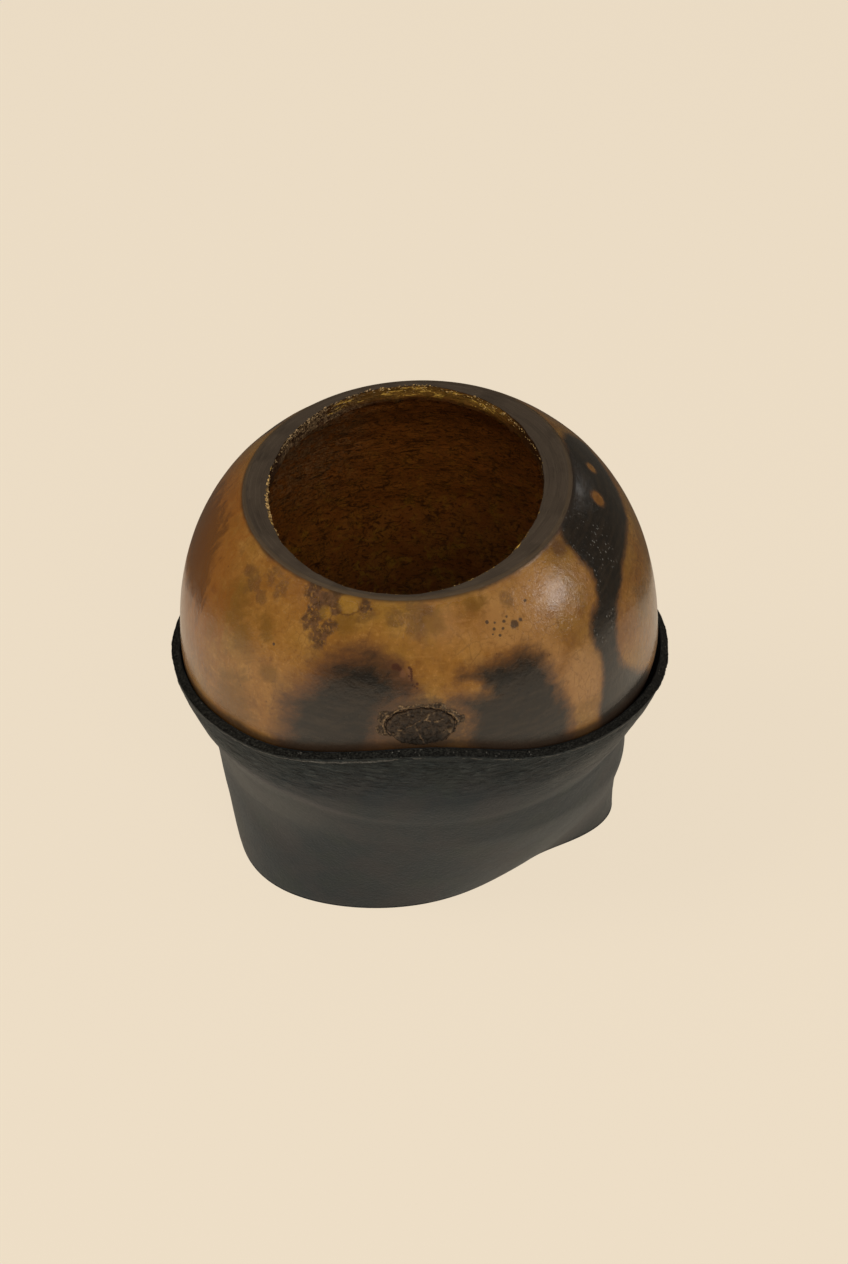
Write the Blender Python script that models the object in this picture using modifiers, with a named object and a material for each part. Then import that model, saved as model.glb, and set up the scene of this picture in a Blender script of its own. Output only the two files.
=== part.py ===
"""Mate gourd in a formed leather sleeve.

A dried, varnished gourd cut open at the top sits in a band of stiff leather that was
shaped over its lower half. Below the gourd the band narrows to a foot that stands flat.

Metres, +Z up. The front of the part, with the round blossom scar, faces -Y.
Azimuths are measured round +Z from the front, positive towards +X.
"""

import math

import bmesh
import bpy
from mathutils import Euler, Matrix, Vector

MM = 0.001

# Gourd, in its own frame: origin at its centre, +Z along the axis of its mouth
GOURD_RADIUS = 49.6 * MM
UPPER_HEIGHT = 49.5 * MM
LOWER_HEIGHT = 46.0 * MM
UPPER_FULLNESS = 2.41
LOWER_FULLNESS = 1.42
MOUTH_HEIGHT = 40.2 * MM
RIM_BEVEL = 0.5 * MM
SHELL_THICKNESS = 4.8 * MM
GOURD_WAVINESS = 0.15 * MM
CUT_CLEARANCE = 4.0 * MM

# Uneven outlines as waves round the axis: how many, how strong, where each starts
GOURD_WAVES = ((3, 1.0, 0.7),)
GOURD_TWISTED_WAVES = ((2, 0.6, -1.1),)
GOURD_TWIST = 15.0
HOLE_WAVES = ((11, 0.5, 0.0), (17, 0.35, 1.0), (29, 0.25, 0.0))
EDGE_WAVES = ((7, 1.0, 1.0), (12, 0.6, 0.0))
SCAR_WAVES = ((3, 0.035, 1.0), (7, 0.03, 0.0))
EVEN_NEAR_AXIS = 0.4

# Opening cut through the top: an oval, a little off the gourd's axis
HOLE_HALF_WIDTH = 28.2 * MM
HOLE_HALF_DEPTH = 32.1 * MM
HOLE_CENTRE = Vector((-1.1 * MM, -0.9 * MM))
HOLE_RAGGEDNESS = 0.25 * MM
HOLE_WALL_HEIGHT = 3.5 * MM
HOLE_BLEND_DEPTH = 10.0 * MM

# How the gourd sits
CENTRE_ABOVE_TABLE = 48.5 * MM
LEAN_FORWARD = math.radians(12.3)
LEAN_LEFT = math.radians(2.6)

# Blossom scar, a wide oval on the front just above the leather
SCAR_AZIMUTH = math.radians(1.2)
SCAR_ELEVATION = math.radians(20.7)
SCAR_HALF_WIDTH = 6.6 * MM
SCAR_HALF_HEIGHT = 4.3 * MM
SCAR_RIDGE = 0.55 * MM
SCAR_ROOT = 1.6 * MM
SCAR_RIPPLE = 0.12 * MM
SCAR_RIPPLES = 5
SCAR_LUMPS = 13
SCAR_LUMP_RADIUS = 0.9 * MM
SCAR_LUMP_SHAPE = (1.25, 0.9, 0.5)
SCAR_LUMP_ARC = (math.radians(-8), math.radians(188))
SCAR_LUMP_REACH = 1.18
SCAR_LUMP_OFFSET = 0.3 * MM
SCAR_LUMP_SCATTER = 0.07
SCAR_LUMP_VARIATION = 0.25

# Leather sleeve
LEATHER_THICKNESS = 1.7 * MM
LEATHER_FRONT_EXTRA = 0.7 * MM
LEATHER_FRONT_SPREAD = math.radians(60)
LEATHER_GAP = 0.32 * MM
EDGE_HEIGHT = -7.0 * MM
EDGE_FRONT_RISE = 7.7 * MM
EDGE_FRONT_SPREAD = math.radians(30)
EDGE_BACK_RISE = 8.0 * MM
EDGE_RIGHT_RISE = 0.55 * MM
EDGE_WAVINESS = 0.15 * MM
EDGE_SLANT = 0.5 * MM
CREASE_HEIGHT = -15.0 * MM
CREASE_FRONT_DROP = 1.0 * MM
CREASE_FRONT_SPREAD = math.radians(50)
CREASE_SOFTNESS = 2.5 * MM
WAIST_HEIGHT = -24.5 * MM
WAIST_RADIUS = 40.6 * MM
LIP_RIGHT_FLARE = 1.1 * MM
LIP_START = -11.0 * MM
RIGHT_BULGE = 0.6 * MM
RIGHT_BULGE_ROUNDNESS = 1.0
RIGHT_BULGE_AZIMUTH = math.radians(85)
RIGHT_BULGE_SPREAD = math.radians(35)
FOOT_RADIUS = 38.6 * MM
FOOT_CENTRE = Vector((1.5 * MM, 6.0 * MM))
FOOT_BACK_FLAT = 5.0 * MM
FOOT_BACK_SPREAD = math.radians(60)
FOOT_LEFT_BULGE = 2.2 * MM
FOOT_LEFT_AZIMUTH = math.radians(-47)
FOOT_LEFT_SPREAD = math.radians(25)
DENT_DEPTH = 12.3 * MM
DENT_AZIMUTH = math.radians(47)
DENT_SPREAD_LEFT = math.radians(55)
DENT_SPREAD_RIGHT = math.radians(34)
DENT_ROUNDNESS = 2.3

# Fineness
SEGMENTS = 76
OUTER_RINGS = 20
INNER_RINGS = 13
SCAR_SEGMENTS = 28
EDGE_TO_CREASE_RINGS = 4
CREASE_TO_WAIST_RINGS = 3
WAIST_TO_FOOT_RINGS = 3
MERGE = 0.00001

TURN = 2 * math.pi
SURFACE_SEARCH_STEPS = 34
SLOPE_STEP = 0.5 * MM


def clear_scene():
    for obj in list(bpy.data.objects):
        bpy.data.objects.remove(obj, do_unlink=True)


def collection(name):
    made = bpy.data.collections.new(name)
    bpy.context.scene.collection.children.link(made)
    return made


def material(name, colour, roughness, metallic=0.0):
    made = bpy.data.materials.new(name)
    made.use_nodes = True
    shader = made.node_tree.nodes["Principled BSDF"]
    shader.inputs["Base Color"].default_value = (*colour, 1.0)
    shader.inputs["Roughness"].default_value = roughness
    shader.inputs["Metallic"].default_value = metallic
    return made


def bell(distance, spread, power=2.0):
    """A hump of height 1 that fades to nothing a little beyond its spread."""
    return math.exp(-(abs(distance) / spread) ** power)


def smooth_step(low, high, value):
    share = min(max((value - low) / (high - low), 0.0), 1.0)
    return share * share * (3 - 2 * share)


def mix(first, second, share):
    return first + (second - first) * share


def azimuth_of(point):
    return math.atan2(point.x, -point.y)


def angle_between(azimuth, other):
    """The turn from other to azimuth, between -180 and 180 degrees."""
    return (azimuth - other + math.pi) % TURN - math.pi


def flat_direction(azimuth):
    return Vector((math.sin(azimuth), -math.cos(azimuth), 0.0))


def gourd_to_part():
    """Places the gourd's own frame above the table, leaning to the front and the left."""
    lean = Euler((LEAN_FORWARD, 0, 0)).to_matrix() @ Euler((0, -LEAN_LEFT, 0)).to_matrix()
    return Matrix.Translation((0, 0, CENTRE_ABOVE_TABLE)) @ lean.to_4x4()


def oval_point(radius, upper, lower, angle):
    """A point of the gourd's outline at an angle from straight up; the halves differ."""
    height, fullness = (upper, UPPER_FULLNESS) if math.cos(angle) >= 0 else (lower, LOWER_FULLNESS)
    across = abs(math.sin(angle)) / radius
    along = abs(math.cos(angle)) / height
    reach = (across ** fullness + along ** fullness) ** (-1 / fullness)
    return reach * math.sin(angle), reach * math.cos(angle)


def angle_at_height(radius, upper, lower, height):
    """The angle from straight up where the outline is at a height in its upper half."""
    low, high = 0.0, math.pi / 2
    for _ in range(SURFACE_SEARCH_STEPS):
        middle = (low + high) / 2
        if oval_point(radius, upper, lower, middle)[1] > height:
            low = middle
        else:
            high = middle
    return low


def waves(azimuth, terms):
    return sum(strength * math.sin(count * azimuth + start) for count, strength, start in terms)


def waviness(azimuth, height):
    """The slight natural unevenness of the gourd, as a change of its radius."""
    lobes = waves(azimuth, GOURD_WAVES)
    lobes += waves(azimuth + GOURD_TWIST * height, GOURD_TWISTED_WAVES)
    return GOURD_WAVINESS * lobes * bell(height, GOURD_RADIUS)


def unevenly_round(point):
    across = Vector((point.x, point.y))
    if across.length < MERGE:
        return point.copy()
    fade = min(across.length / (EVEN_NEAR_AXIS * GOURD_RADIUS), 1.0)
    wider = 1 + fade * waviness(azimuth_of(point), point.z) / across.length
    return Vector((point.x * wider, point.y * wider, point.z))


def oval_hole(point):
    """Squeezes the round top of the hollow to the oval, slightly ragged hole."""
    share = smooth_step(MOUTH_HEIGHT - HOLE_BLEND_DEPTH, MOUTH_HEIGHT - HOLE_WALL_HEIGHT, point.z)
    azimuth = azimuth_of(point)
    round_radius = (HOLE_HALF_WIDTH + HOLE_HALF_DEPTH) / 2
    oval = 1 / math.hypot(math.sin(azimuth) / HOLE_HALF_WIDTH, math.cos(azimuth) / HOLE_HALF_DEPTH)
    oval += HOLE_RAGGEDNESS * waves(azimuth, HOLE_WAVES)
    scale = mix(1.0, oval / round_radius, share)
    shift = HOLE_CENTRE * share
    return Vector((point.x * scale + shift.x, point.y * scale + shift.y, point.z))


def turned(name, profile, segments, keep_in, ring=False):
    """A solid turned from its profile, given down its outer side at +X; a ring's is closed."""
    mesh = bpy.data.meshes.new(name)
    edges = [(index, index + 1) for index in range(len(profile) - 1)]
    if ring:
        edges.append((len(profile) - 1, 0))
    mesh.from_pydata([(across, 0, along) for across, along in profile], edges, [])
    obj = bpy.data.objects.new(name, mesh)
    keep_in.objects.link(obj)
    screw = obj.modifiers.new("Screw", "SCREW")
    screw.axis = "Z"
    screw.steps = segments
    screw.render_steps = segments
    screw.use_merge_vertices = True
    screw.merge_threshold = MERGE
    apply_modifiers(obj)
    return obj


def apply_modifiers(obj):
    graph = bpy.context.evaluated_depsgraph_get()
    finished = bpy.data.meshes.new_from_object(obj.evaluated_get(graph))
    plain = obj.data
    obj.modifiers.clear()
    obj.data = finished
    bpy.data.meshes.remove(plain)
    finished.name = obj.name


def warp(obj, rule):
    for vertex in obj.data.vertices:
        vertex.co = rule(vertex.co)


def boolean(obj, operation, operand):
    modifier = obj.modifiers.new(operation.title(), "BOOLEAN")
    modifier.operation = operation
    modifier.solver = "EXACT"
    if isinstance(operand, bpy.types.Collection):
        modifier.operand_type = "COLLECTION"
        modifier.collection = operand
    else:
        modifier.object = operand
    apply_modifiers(obj)


def as_cutter(obj):
    obj.hide_render = True
    obj.display_type = "WIRE"
    return obj


def shade(obj, sharp_angle=math.radians(38)):
    obj.data.shade_smooth()
    obj.data.set_sharp_from_angle(angle=sharp_angle)


def gourd_body(keep_in):
    """The outside of the gourd with its top cut off flat, still solid."""
    top = angle_at_height(GOURD_RADIUS, UPPER_HEIGHT, LOWER_HEIGHT, MOUTH_HEIGHT - RIM_BEVEL)
    rim_radius = oval_point(GOURD_RADIUS, UPPER_HEIGHT, LOWER_HEIGHT, top)[0]
    profile = [(0.0, MOUTH_HEIGHT), (rim_radius - 1.5 * RIM_BEVEL, MOUTH_HEIGHT)]
    for ring in range(OUTER_RINGS + 1):
        angle = mix(top, math.pi, ring / OUTER_RINGS)
        profile.append(oval_point(GOURD_RADIUS, UPPER_HEIGHT, LOWER_HEIGHT, angle))
    profile[-1] = (0.0, -LOWER_HEIGHT)
    body = turned("gourd", profile, SEGMENTS, keep_in)
    warp(body, unevenly_round)
    return body


def hollow(keep_in):
    """The space inside the gourd: a straight hole through the top over a round belly."""
    radius = GOURD_RADIUS - SHELL_THICKNESS
    upper = UPPER_HEIGHT - SHELL_THICKNESS
    lower = LOWER_HEIGHT - SHELL_THICKNESS
    hole_radius = (HOLE_HALF_WIDTH + HOLE_HALF_DEPTH) / 2
    under_lip = angle_at_height(radius, upper, lower, MOUTH_HEIGHT - HOLE_WALL_HEIGHT)
    above = MOUTH_HEIGHT + CUT_CLEARANCE
    profile = [(0.0, above), (hole_radius, above), (hole_radius, MOUTH_HEIGHT - HOLE_WALL_HEIGHT / 2)]
    for ring in range(INNER_RINGS + 1):
        angle = mix(under_lip, math.pi, ring / INNER_RINGS)
        profile.append(oval_point(radius, upper, lower, angle))
    profile[-1] = (0.0, -lower)
    cutter = turned("gourd_hollow", profile, SEGMENTS, keep_in)
    warp(cutter, unevenly_round)
    warp(cutter, oval_hole)
    return as_cutter(cutter)


def scar_frame():
    """The scar's own frame: +Z straight out of the gourd's skin, +Y up along it."""
    angle = math.pi / 2 - SCAR_ELEVATION
    across, along = oval_point(GOURD_RADIUS, UPPER_HEIGHT, LOWER_HEIGHT, angle)
    next_across, next_along = oval_point(GOURD_RADIUS, UPPER_HEIGHT, LOWER_HEIGHT, angle - 0.01)
    ahead = flat_direction(SCAR_AZIMUTH)
    place = ahead * across + Vector((0, 0, along))
    upward = (ahead * (next_across - across) + Vector((0, 0, next_along - along))).normalized()
    sideways = Vector((0, 0, 1)).cross(ahead).normalized()
    outward = sideways.cross(upward)
    return Matrix.Translation(place) @ Matrix((sideways, upward, outward)).transposed().to_4x4()


def follow_skin(point):
    """Bends what is built flat on the scar's frame to the curve of the gourd."""
    drop = (point.x ** 2 + point.y ** 2) / (2 * GOURD_RADIUS)
    return Vector((point.x, point.y, point.z - drop))


def scar_disc(keep_in):
    """A low crusty disc inside a raised ring, wider than it is high."""
    profile = [
        (0.0, 0.15 * SCAR_RIDGE),
        (0.45, 0.5 * SCAR_RIDGE),
        (0.78, 0.2 * SCAR_RIDGE),
        (0.88, 1.0 * SCAR_RIDGE),
        (1.0, 0.75 * SCAR_RIDGE),
        (1.08, -0.5 * SCAR_RIDGE),
        (1.08, -SCAR_ROOT),
        (0.0, -SCAR_ROOT),
    ]
    profile = [(across * SCAR_HALF_WIDTH, along) for across, along in profile]
    disc = turned("scar_disc", profile, SCAR_SEGMENTS, keep_in)

    def uneven(point):
        angle = math.atan2(point.y, point.x)
        wider = 1 + waves(angle, SCAR_WAVES)
        oval = SCAR_HALF_HEIGHT / SCAR_HALF_WIDTH
        rippled = SCAR_RIPPLE * math.sin(SCAR_RIPPLES * angle + point.x / MM)
        ripple = rippled if point.z > 0 else 0.0
        return follow_skin(Vector((point.x * wider, point.y * wider * oval, point.z + ripple)))

    warp(disc, uneven)
    disc.data.transform(scar_frame())


def scar_lumps(keep_in):
    """Grains of crust in an arc round the scar's upper side."""
    for index in range(SCAR_LUMPS):
        angle = mix(*SCAR_LUMP_ARC, index / (SCAR_LUMPS - 1))
        spread = SCAR_LUMP_REACH + SCAR_LUMP_SCATTER * math.sin(2.4 * index)
        across = SCAR_HALF_WIDTH * spread * math.cos(angle)
        upward = (SCAR_HALF_HEIGHT * spread + SCAR_LUMP_OFFSET) * math.sin(angle)
        radius = SCAR_LUMP_RADIUS * (1 + SCAR_LUMP_VARIATION * math.sin(3.7 * index + 1))
        mesh = bpy.data.meshes.new("scar_lump")
        lump = bpy.data.objects.new(f"scar_lump_{index}", mesh)
        keep_in.objects.link(lump)
        shaping = bmesh.new()
        bmesh.ops.create_icosphere(shaping, subdivisions=2, radius=radius)
        flat = Matrix.Diagonal((*SCAR_LUMP_SHAPE, 1.0))
        turn = Matrix.Rotation(angle + math.pi / 2, 4, "Z")
        place = Matrix.Translation((across, upward, 0))
        bmesh.ops.transform(shaping, matrix=place @ turn @ flat, verts=shaping.verts)
        shaping.to_mesh(mesh)
        shaping.free()
        warp(lump, follow_skin)
        lump.data.transform(scar_frame())


def build_gourd(parts, cutters, skin):
    gourd = gourd_body(parts)
    boolean(gourd, "DIFFERENCE", hollow(cutters))
    crust = collection("scar_pieces")
    scar_disc(crust)
    scar_lumps(crust)
    boolean(gourd, "UNION", crust)
    for piece in list(crust.objects):
        bpy.data.objects.remove(piece, do_unlink=True)
    bpy.data.collections.remove(crust)
    gourd.data.transform(gourd_to_part())
    gourd.data.materials.clear()
    gourd.data.materials.append(skin)
    shade(gourd)
    return gourd


def gourd_radius(azimuth, height):
    """How far the gourd's skin is from the part's vertical axis, height from its centre."""
    back = gourd_to_part().inverted()
    ahead = flat_direction(azimuth)
    near, far = 0.0, 1.5 * GOURD_RADIUS
    for _ in range(SURFACE_SEARCH_STEPS):
        reach = (near + far) / 2
        local = back @ (ahead * reach + Vector((0, 0, CENTRE_ABOVE_TABLE + height)))
        upper = local.z >= 0
        fullness = UPPER_FULLNESS if upper else LOWER_FULLNESS
        tall = UPPER_HEIGHT if upper else LOWER_HEIGHT
        swell = waviness(azimuth_of(local), local.z)
        across = math.hypot(local.x, local.y) / (GOURD_RADIUS + swell)
        inside = across ** fullness + (abs(local.z) / tall) ** fullness < 1
        if inside:
            near = reach
        else:
            far = reach
    return near


def edge_height(azimuth):
    """The leather's upper edge rises to a soft hump over the scar."""
    front = EDGE_FRONT_RISE * bell(azimuth, EDGE_FRONT_SPREAD)
    back = EDGE_BACK_RISE * (1 - math.cos(azimuth)) / 2
    right = EDGE_RIGHT_RISE * math.sin(2 * azimuth)
    hand_cut = EDGE_WAVINESS * waves(azimuth, EDGE_WAVES)
    return EDGE_HEIGHT + front + back + right + hand_cut


def crease_height(azimuth):
    return CREASE_HEIGHT - CREASE_FRONT_DROP * bell(azimuth, CREASE_FRONT_SPREAD)


def foot_radius(azimuth):
    """The inside of the foot, measured from its own centre: a dented circle."""
    turn = angle_between(azimuth, DENT_AZIMUTH)
    spread = DENT_SPREAD_LEFT if turn < 0 else DENT_SPREAD_RIGHT
    dent = DENT_DEPTH * bell(turn, spread, DENT_ROUNDNESS)
    bulge = FOOT_LEFT_BULGE * bell(angle_between(azimuth, FOOT_LEFT_AZIMUTH), FOOT_LEFT_SPREAD)
    flat = FOOT_BACK_FLAT * bell(angle_between(azimuth, math.pi), FOOT_BACK_SPREAD)
    return FOOT_RADIUS - dent + bulge - flat


def foot_reach(azimuth):
    """The inside of the foot, measured from the part's vertical axis."""
    near, far = 0.0, 2 * FOOT_RADIUS
    ahead = flat_direction(azimuth)
    for _ in range(SURFACE_SEARCH_STEPS):
        reach = (near + far) / 2
        from_centre = (ahead * reach).xy - FOOT_CENTRE
        inside = from_centre.length < foot_radius(azimuth_of(from_centre))
        near, far = (reach, far) if inside else (near, reach)
    return near


def right_bulge(azimuth):
    return bell(angle_between(azimuth, RIGHT_BULGE_AZIMUTH), RIGHT_BULGE_SPREAD)


def leather_radius(azimuth, height):
    """The inside of the leather: on the gourd, then in to the waist, then to the foot."""
    crease = crease_height(azimuth)
    hugging = gourd_radius(azimuth, height) + LEATHER_GAP
    waist = WAIST_RADIUS + RIGHT_BULGE * right_bulge(azimuth)
    if height > WAIST_HEIGHT:
        share = (height - WAIST_HEIGHT) / (crease - WAIST_HEIGHT)
        wall = mix(waist, gourd_radius(azimuth, crease) + LEATHER_GAP, share)
    else:
        share = (WAIST_HEIGHT - height) / (WAIST_HEIGHT + CENTRE_ABOVE_TABLE)
        roundness = 1 + RIGHT_BULGE_ROUNDNESS * right_bulge(azimuth)
        wall = mix(waist, foot_reach(azimuth), share ** roundness)
    on_gourd = smooth_step(crease - CREASE_SOFTNESS, crease + CREASE_SOFTNESS, height)
    lip = LIP_RIGHT_FLARE * right_bulge(azimuth) * smooth_step(LIP_START, 0.0, height)
    return max(mix(wall, hugging, on_gourd), hugging) + lip


def sleeve_levels(azimuth):
    """The heights of the sleeve's rings at an azimuth, from its edge down to the foot."""
    stops = (edge_height(azimuth), crease_height(azimuth), WAIST_HEIGHT, -CENTRE_ABOVE_TABLE)
    counts = (EDGE_TO_CREASE_RINGS, CREASE_TO_WAIST_RINGS, WAIST_TO_FOOT_RINGS)
    levels = [stops[0]]
    for start, end, count in zip(stops, stops[1:], counts):
        levels += [mix(start, end, step / count) for step in range(1, count + 1)]
    return levels


def sleeve_point(azimuth, level, outside):
    """A point of the sleeve: the leather's outside lies its thickness off its inside."""
    levels = sleeve_levels(azimuth)
    height = levels[level]
    radius = leather_radius(azimuth, height)
    if outside:
        above = leather_radius(azimuth, height + SLOPE_STEP)
        below = leather_radius(azimuth, height - SLOPE_STEP)
        lean = math.atan2(above - below, 2 * SLOPE_STEP)
        thickness = LEATHER_THICKNESS + LEATHER_FRONT_EXTRA * bell(azimuth, LEATHER_FRONT_SPREAD)
        if level == len(levels) - 1:
            radius += thickness / math.cos(lean)
        else:
            radius += thickness * math.cos(lean)
            height -= thickness * math.sin(lean)
        if level == 0:
            height -= EDGE_SLANT
    out = flat_direction(azimuth) * radius
    return Vector((out.x, out.y, CENTRE_ABOVE_TABLE + height))


def build_sleeve(parts, leather):
    """A ring of leather, open at both ends, shaped level by level."""
    levels = len(sleeve_levels(0.0))
    inner_radius, outer_radius = 1.0, 2.0
    profile = [(outer_radius, -level) for level in range(levels)]
    profile += [(inner_radius, -level) for level in reversed(range(levels))]
    sleeve = turned("leather_sleeve", profile, SEGMENTS, parts, ring=True)

    def shaped(point):
        outside = math.hypot(point.x, point.y) > (inner_radius + outer_radius) / 2
        return sleeve_point(azimuth_of(point), round(-point.z), outside)

    warp(sleeve, shaped)
    sleeve.data.materials.clear()
    sleeve.data.materials.append(leather)
    shade(sleeve)
    return sleeve


def stand_on_origin(objects):
    """Moves the part so that the middle of its box's floor is the origin."""
    corners = [vertex.co for obj in objects for vertex in obj.data.vertices]
    middle_x = (min(c.x for c in corners) + max(c.x for c in corners)) / 2
    middle_y = (min(c.y for c in corners) + max(c.y for c in corners)) / 2
    lowest = min(c.z for c in corners)
    for obj in objects:
        obj.data.transform(Matrix.Translation((-middle_x, -middle_y, -lowest)))


def main():
    clear_scene()
    parts = collection("mate_gourd")
    cutters = collection("cutters")
    skin = material("varnished_gourd", (0.30, 0.14, 0.045), 0.28)
    leather = material("black_leather", (0.035, 0.037, 0.036), 0.55)
    gourd = build_gourd(parts, cutters, skin)
    sleeve = build_sleeve(parts, leather)
    stand_on_origin([gourd, sleeve])


main()
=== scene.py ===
"""Mate gourd in a formed leather sleeve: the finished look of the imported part.

Metres, +Z up, in the part's own frame. The front, with the blossom scar, faces -Y.
Azimuths are measured round +Z from the front, positive towards +X.
"""

import math

import bpy
import numpy as np
from mathutils import Euler, Matrix, Vector, noise


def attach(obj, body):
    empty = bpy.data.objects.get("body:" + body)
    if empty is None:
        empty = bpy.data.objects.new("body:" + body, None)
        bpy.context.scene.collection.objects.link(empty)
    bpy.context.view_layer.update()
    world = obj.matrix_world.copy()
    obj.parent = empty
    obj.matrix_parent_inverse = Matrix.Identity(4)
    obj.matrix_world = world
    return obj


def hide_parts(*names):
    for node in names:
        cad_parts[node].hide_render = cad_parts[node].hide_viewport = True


bl_info = {
    "name": "Mate Gourd",
    "version": (1, 0, 0),
    "blender": (4, 5, 0),
    "location": "View3D > Sidebar > Mate Gourd",
    "description": "Adds a varnished gourd in a formed leather sleeve, with its stage",
    "category": "Add Mesh",
}

MM = 0.001
TURN = 2 * math.pi

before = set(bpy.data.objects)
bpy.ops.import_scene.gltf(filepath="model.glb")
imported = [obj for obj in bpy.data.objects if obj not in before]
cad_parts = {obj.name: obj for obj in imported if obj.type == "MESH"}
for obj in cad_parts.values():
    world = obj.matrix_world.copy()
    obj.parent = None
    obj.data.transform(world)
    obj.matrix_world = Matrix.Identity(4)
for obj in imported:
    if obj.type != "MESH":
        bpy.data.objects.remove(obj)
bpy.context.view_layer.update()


def srgb(*channels):
    """A colour read on a screen, 0 to 255 a channel, as the linear colour that shaders take."""
    shares = [channel / 255 for channel in channels]
    return tuple(share / 12.92 if share < 0.04045 else ((share + 0.055) / 1.055) ** 2.4 for share in shares)


def number(name, description, default, **options):
    return bpy.props.FloatProperty(name=name, description=description, default=default, **options)


def millimetres(name, description, size):
    return number(name, description, size * MM, unit="LENGTH", precision=4)


def degrees(name, description, angle):
    return number(name, description, math.radians(angle), unit="ROTATION")


def tint(name, description, *channels):
    return bpy.props.FloatVectorProperty(
        name=name, description=description, default=srgb(*channels), subtype="COLOR", size=3, min=0.0, max=1.0
    )


class GourdSettings(bpy.types.PropertyGroup):
    """Sizes and colours of the gourd"""

    centre: bpy.props.FloatVectorProperty(
        name="Centre",
        description="Where the middle of the gourd is",
        default=(0.38 * MM, 2.09 * MM, 48.5 * MM),
        subtype="TRANSLATION",
    )
    lean_forward: degrees("Lean forward", "Tilt of the mouth towards the front", 12.3)
    lean_left: degrees("Lean left", "Tilt of the mouth towards the left", 2.6)
    radius: millimetres("Radius", "Half the gourd's widest width", 49.6)
    upper_height: millimetres("Upper height", "From the widest place up to the uncut top", 49.5)
    lower_height: millimetres("Lower height", "From the widest place down to the bottom", 46.0)
    upper_fullness: number("Upper fullness", "2 is an ellipse, more is boxier", 2.41)
    lower_fullness: number("Lower fullness", "2 is an ellipse, less is pointed", 1.42)
    mouth_height: millimetres("Mouth height", "From the widest place up to the cut", 40.2)
    rim_bevel: millimetres("Rim bevel", "Rounding of the rim's outer edge", 0.5)
    shell: millimetres("Shell", "Thickness of the gourd's wall", 4.8)
    waviness: millimetres("Waviness", "Natural unevenness of the skin", 0.15)
    hole_half_width: millimetres("Hole half width", "Half the hole's width", 28.2)
    hole_half_depth: millimetres("Hole half depth", "Half the hole's depth", 32.1)
    hole_wall: millimetres("Hole wall", "Height of the hole's straight wall", 3.5)
    hole_blend: millimetres("Hole blend", "Depth over which the hole widens", 10.0)
    skin_colour: tint("Skin", "Main colour of the varnished skin", 134, 91, 36)
    burn_colour: tint("Burn", "Colour of the burnt patches", 29, 23, 17)
    rim_colour: tint("Rim", "Colour of the cut rim", 70, 60, 50)
    inside_colour: tint("Inside", "Colour of the rough inside", 92, 56, 16)


class SleeveSettings(bpy.types.PropertyGroup):
    """Sizes and colours of the leather sleeve"""

    thickness: millimetres("Thickness", "Thickness of the leather", 1.7)
    front_extra: millimetres("Front extra", "How much thicker it is at the front", 0.7)
    gap: millimetres("Gap", "Room between leather and gourd", 0.32)
    edge_height: millimetres("Edge height", "Height of the upper edge from the gourd's middle", -5.2)
    waist_height: millimetres("Waist height", "Height of the waist from the gourd's middle", -24.5)
    waist_radius: millimetres("Waist radius", "Inner radius at the waist", 40.6)
    foot_radius: millimetres("Foot radius", "Inner radius of the foot", 38.6)
    dent_depth: millimetres("Dent depth", "Depth of the dent in the foot", 13.2)
    leather_colour: tint("Leather", "Colour of the leather's grain side", 28, 35, 39)
    edge_colour: tint("Cut edge", "Colour of the raw cut edge", 15, 15, 14)


class StageSettings(bpy.types.PropertyGroup):
    """Floor, lights and camera"""

    floor_colour: tint("Floor", "Colour of the floor and background", 236, 221, 198)
    sky_light: number("Sky light", "Light from all round", 0.25, min=0.0)
    floor_shine: number("Floor shine", "What the gloss reflects of the floor", 0.58)
    sky_shine: number("Sky shine", "What the gloss reflects of it", 0.1, min=0.0)
    camera_distance: millimetres("Camera distance", "From the gourd's middle to the camera", 1100)
    camera_elevation: degrees("Camera elevation", "How far the camera looks down", 30.0)
    camera_offset: millimetres("Camera offset", "How far the camera is to the right of the gourd", 0.83)
    lens: number("Lens", "Focal length on a 36 mm sensor", 150.38, unit="CAMERA")


class MateSettings(bpy.types.PropertyGroup):
    """All settings of the mate gourd"""

    gourd: bpy.props.PointerProperty(type=GourdSettings)
    sleeve: bpy.props.PointerProperty(type=SleeveSettings)
    stage: bpy.props.PointerProperty(type=StageSettings)


# Arithmetic on whole rings of points at once


HALVINGS = 34
FINE_HALVINGS = 40


def smooth_step(low, high, value):
    share = np.clip((value - low) / (high - low), 0.0, 1.0)
    return share * share * (3 - 2 * share)


def bell(distance, spread, power=2.0):
    return np.exp(-((np.abs(distance) / spread) ** power))


def mix(first, second, share):
    return first + (second - first) * share


def angle_between(azimuth, other):
    return (azimuth - other + math.pi) % TURN - math.pi


def near(azimuth, middle, spread, power=2.0):
    """1 at a middle given in degrees, and less the further the azimuth is from it."""
    return bell(angle_between(azimuth, math.radians(middle)), math.radians(spread), power)


def waves(azimuth, *terms):
    return sum(strength * np.sin(count * azimuth + start) for count, strength, start in terms)


def azimuth_of(points):
    return np.arctan2(points[..., 0], -points[..., 1])


def on_circle(azimuth, radius, height=0.0):
    return np.stack([np.sin(azimuth) * radius, -np.cos(azimuth) * radius, height + 0 * azimuth], axis=-1)


def reach_while(inside, azimuth, limit):
    """How far out from the upright axis a test still holds, found by halving."""
    inner, outer = np.zeros_like(azimuth), np.full_like(azimuth, limit)
    for _ in range(HALVINGS):
        reach = (inner + outer) / 2
        holds = inside(reach)
        inner, outer = np.where(holds, reach, inner), np.where(holds, outer, reach)
    return inner


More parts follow.
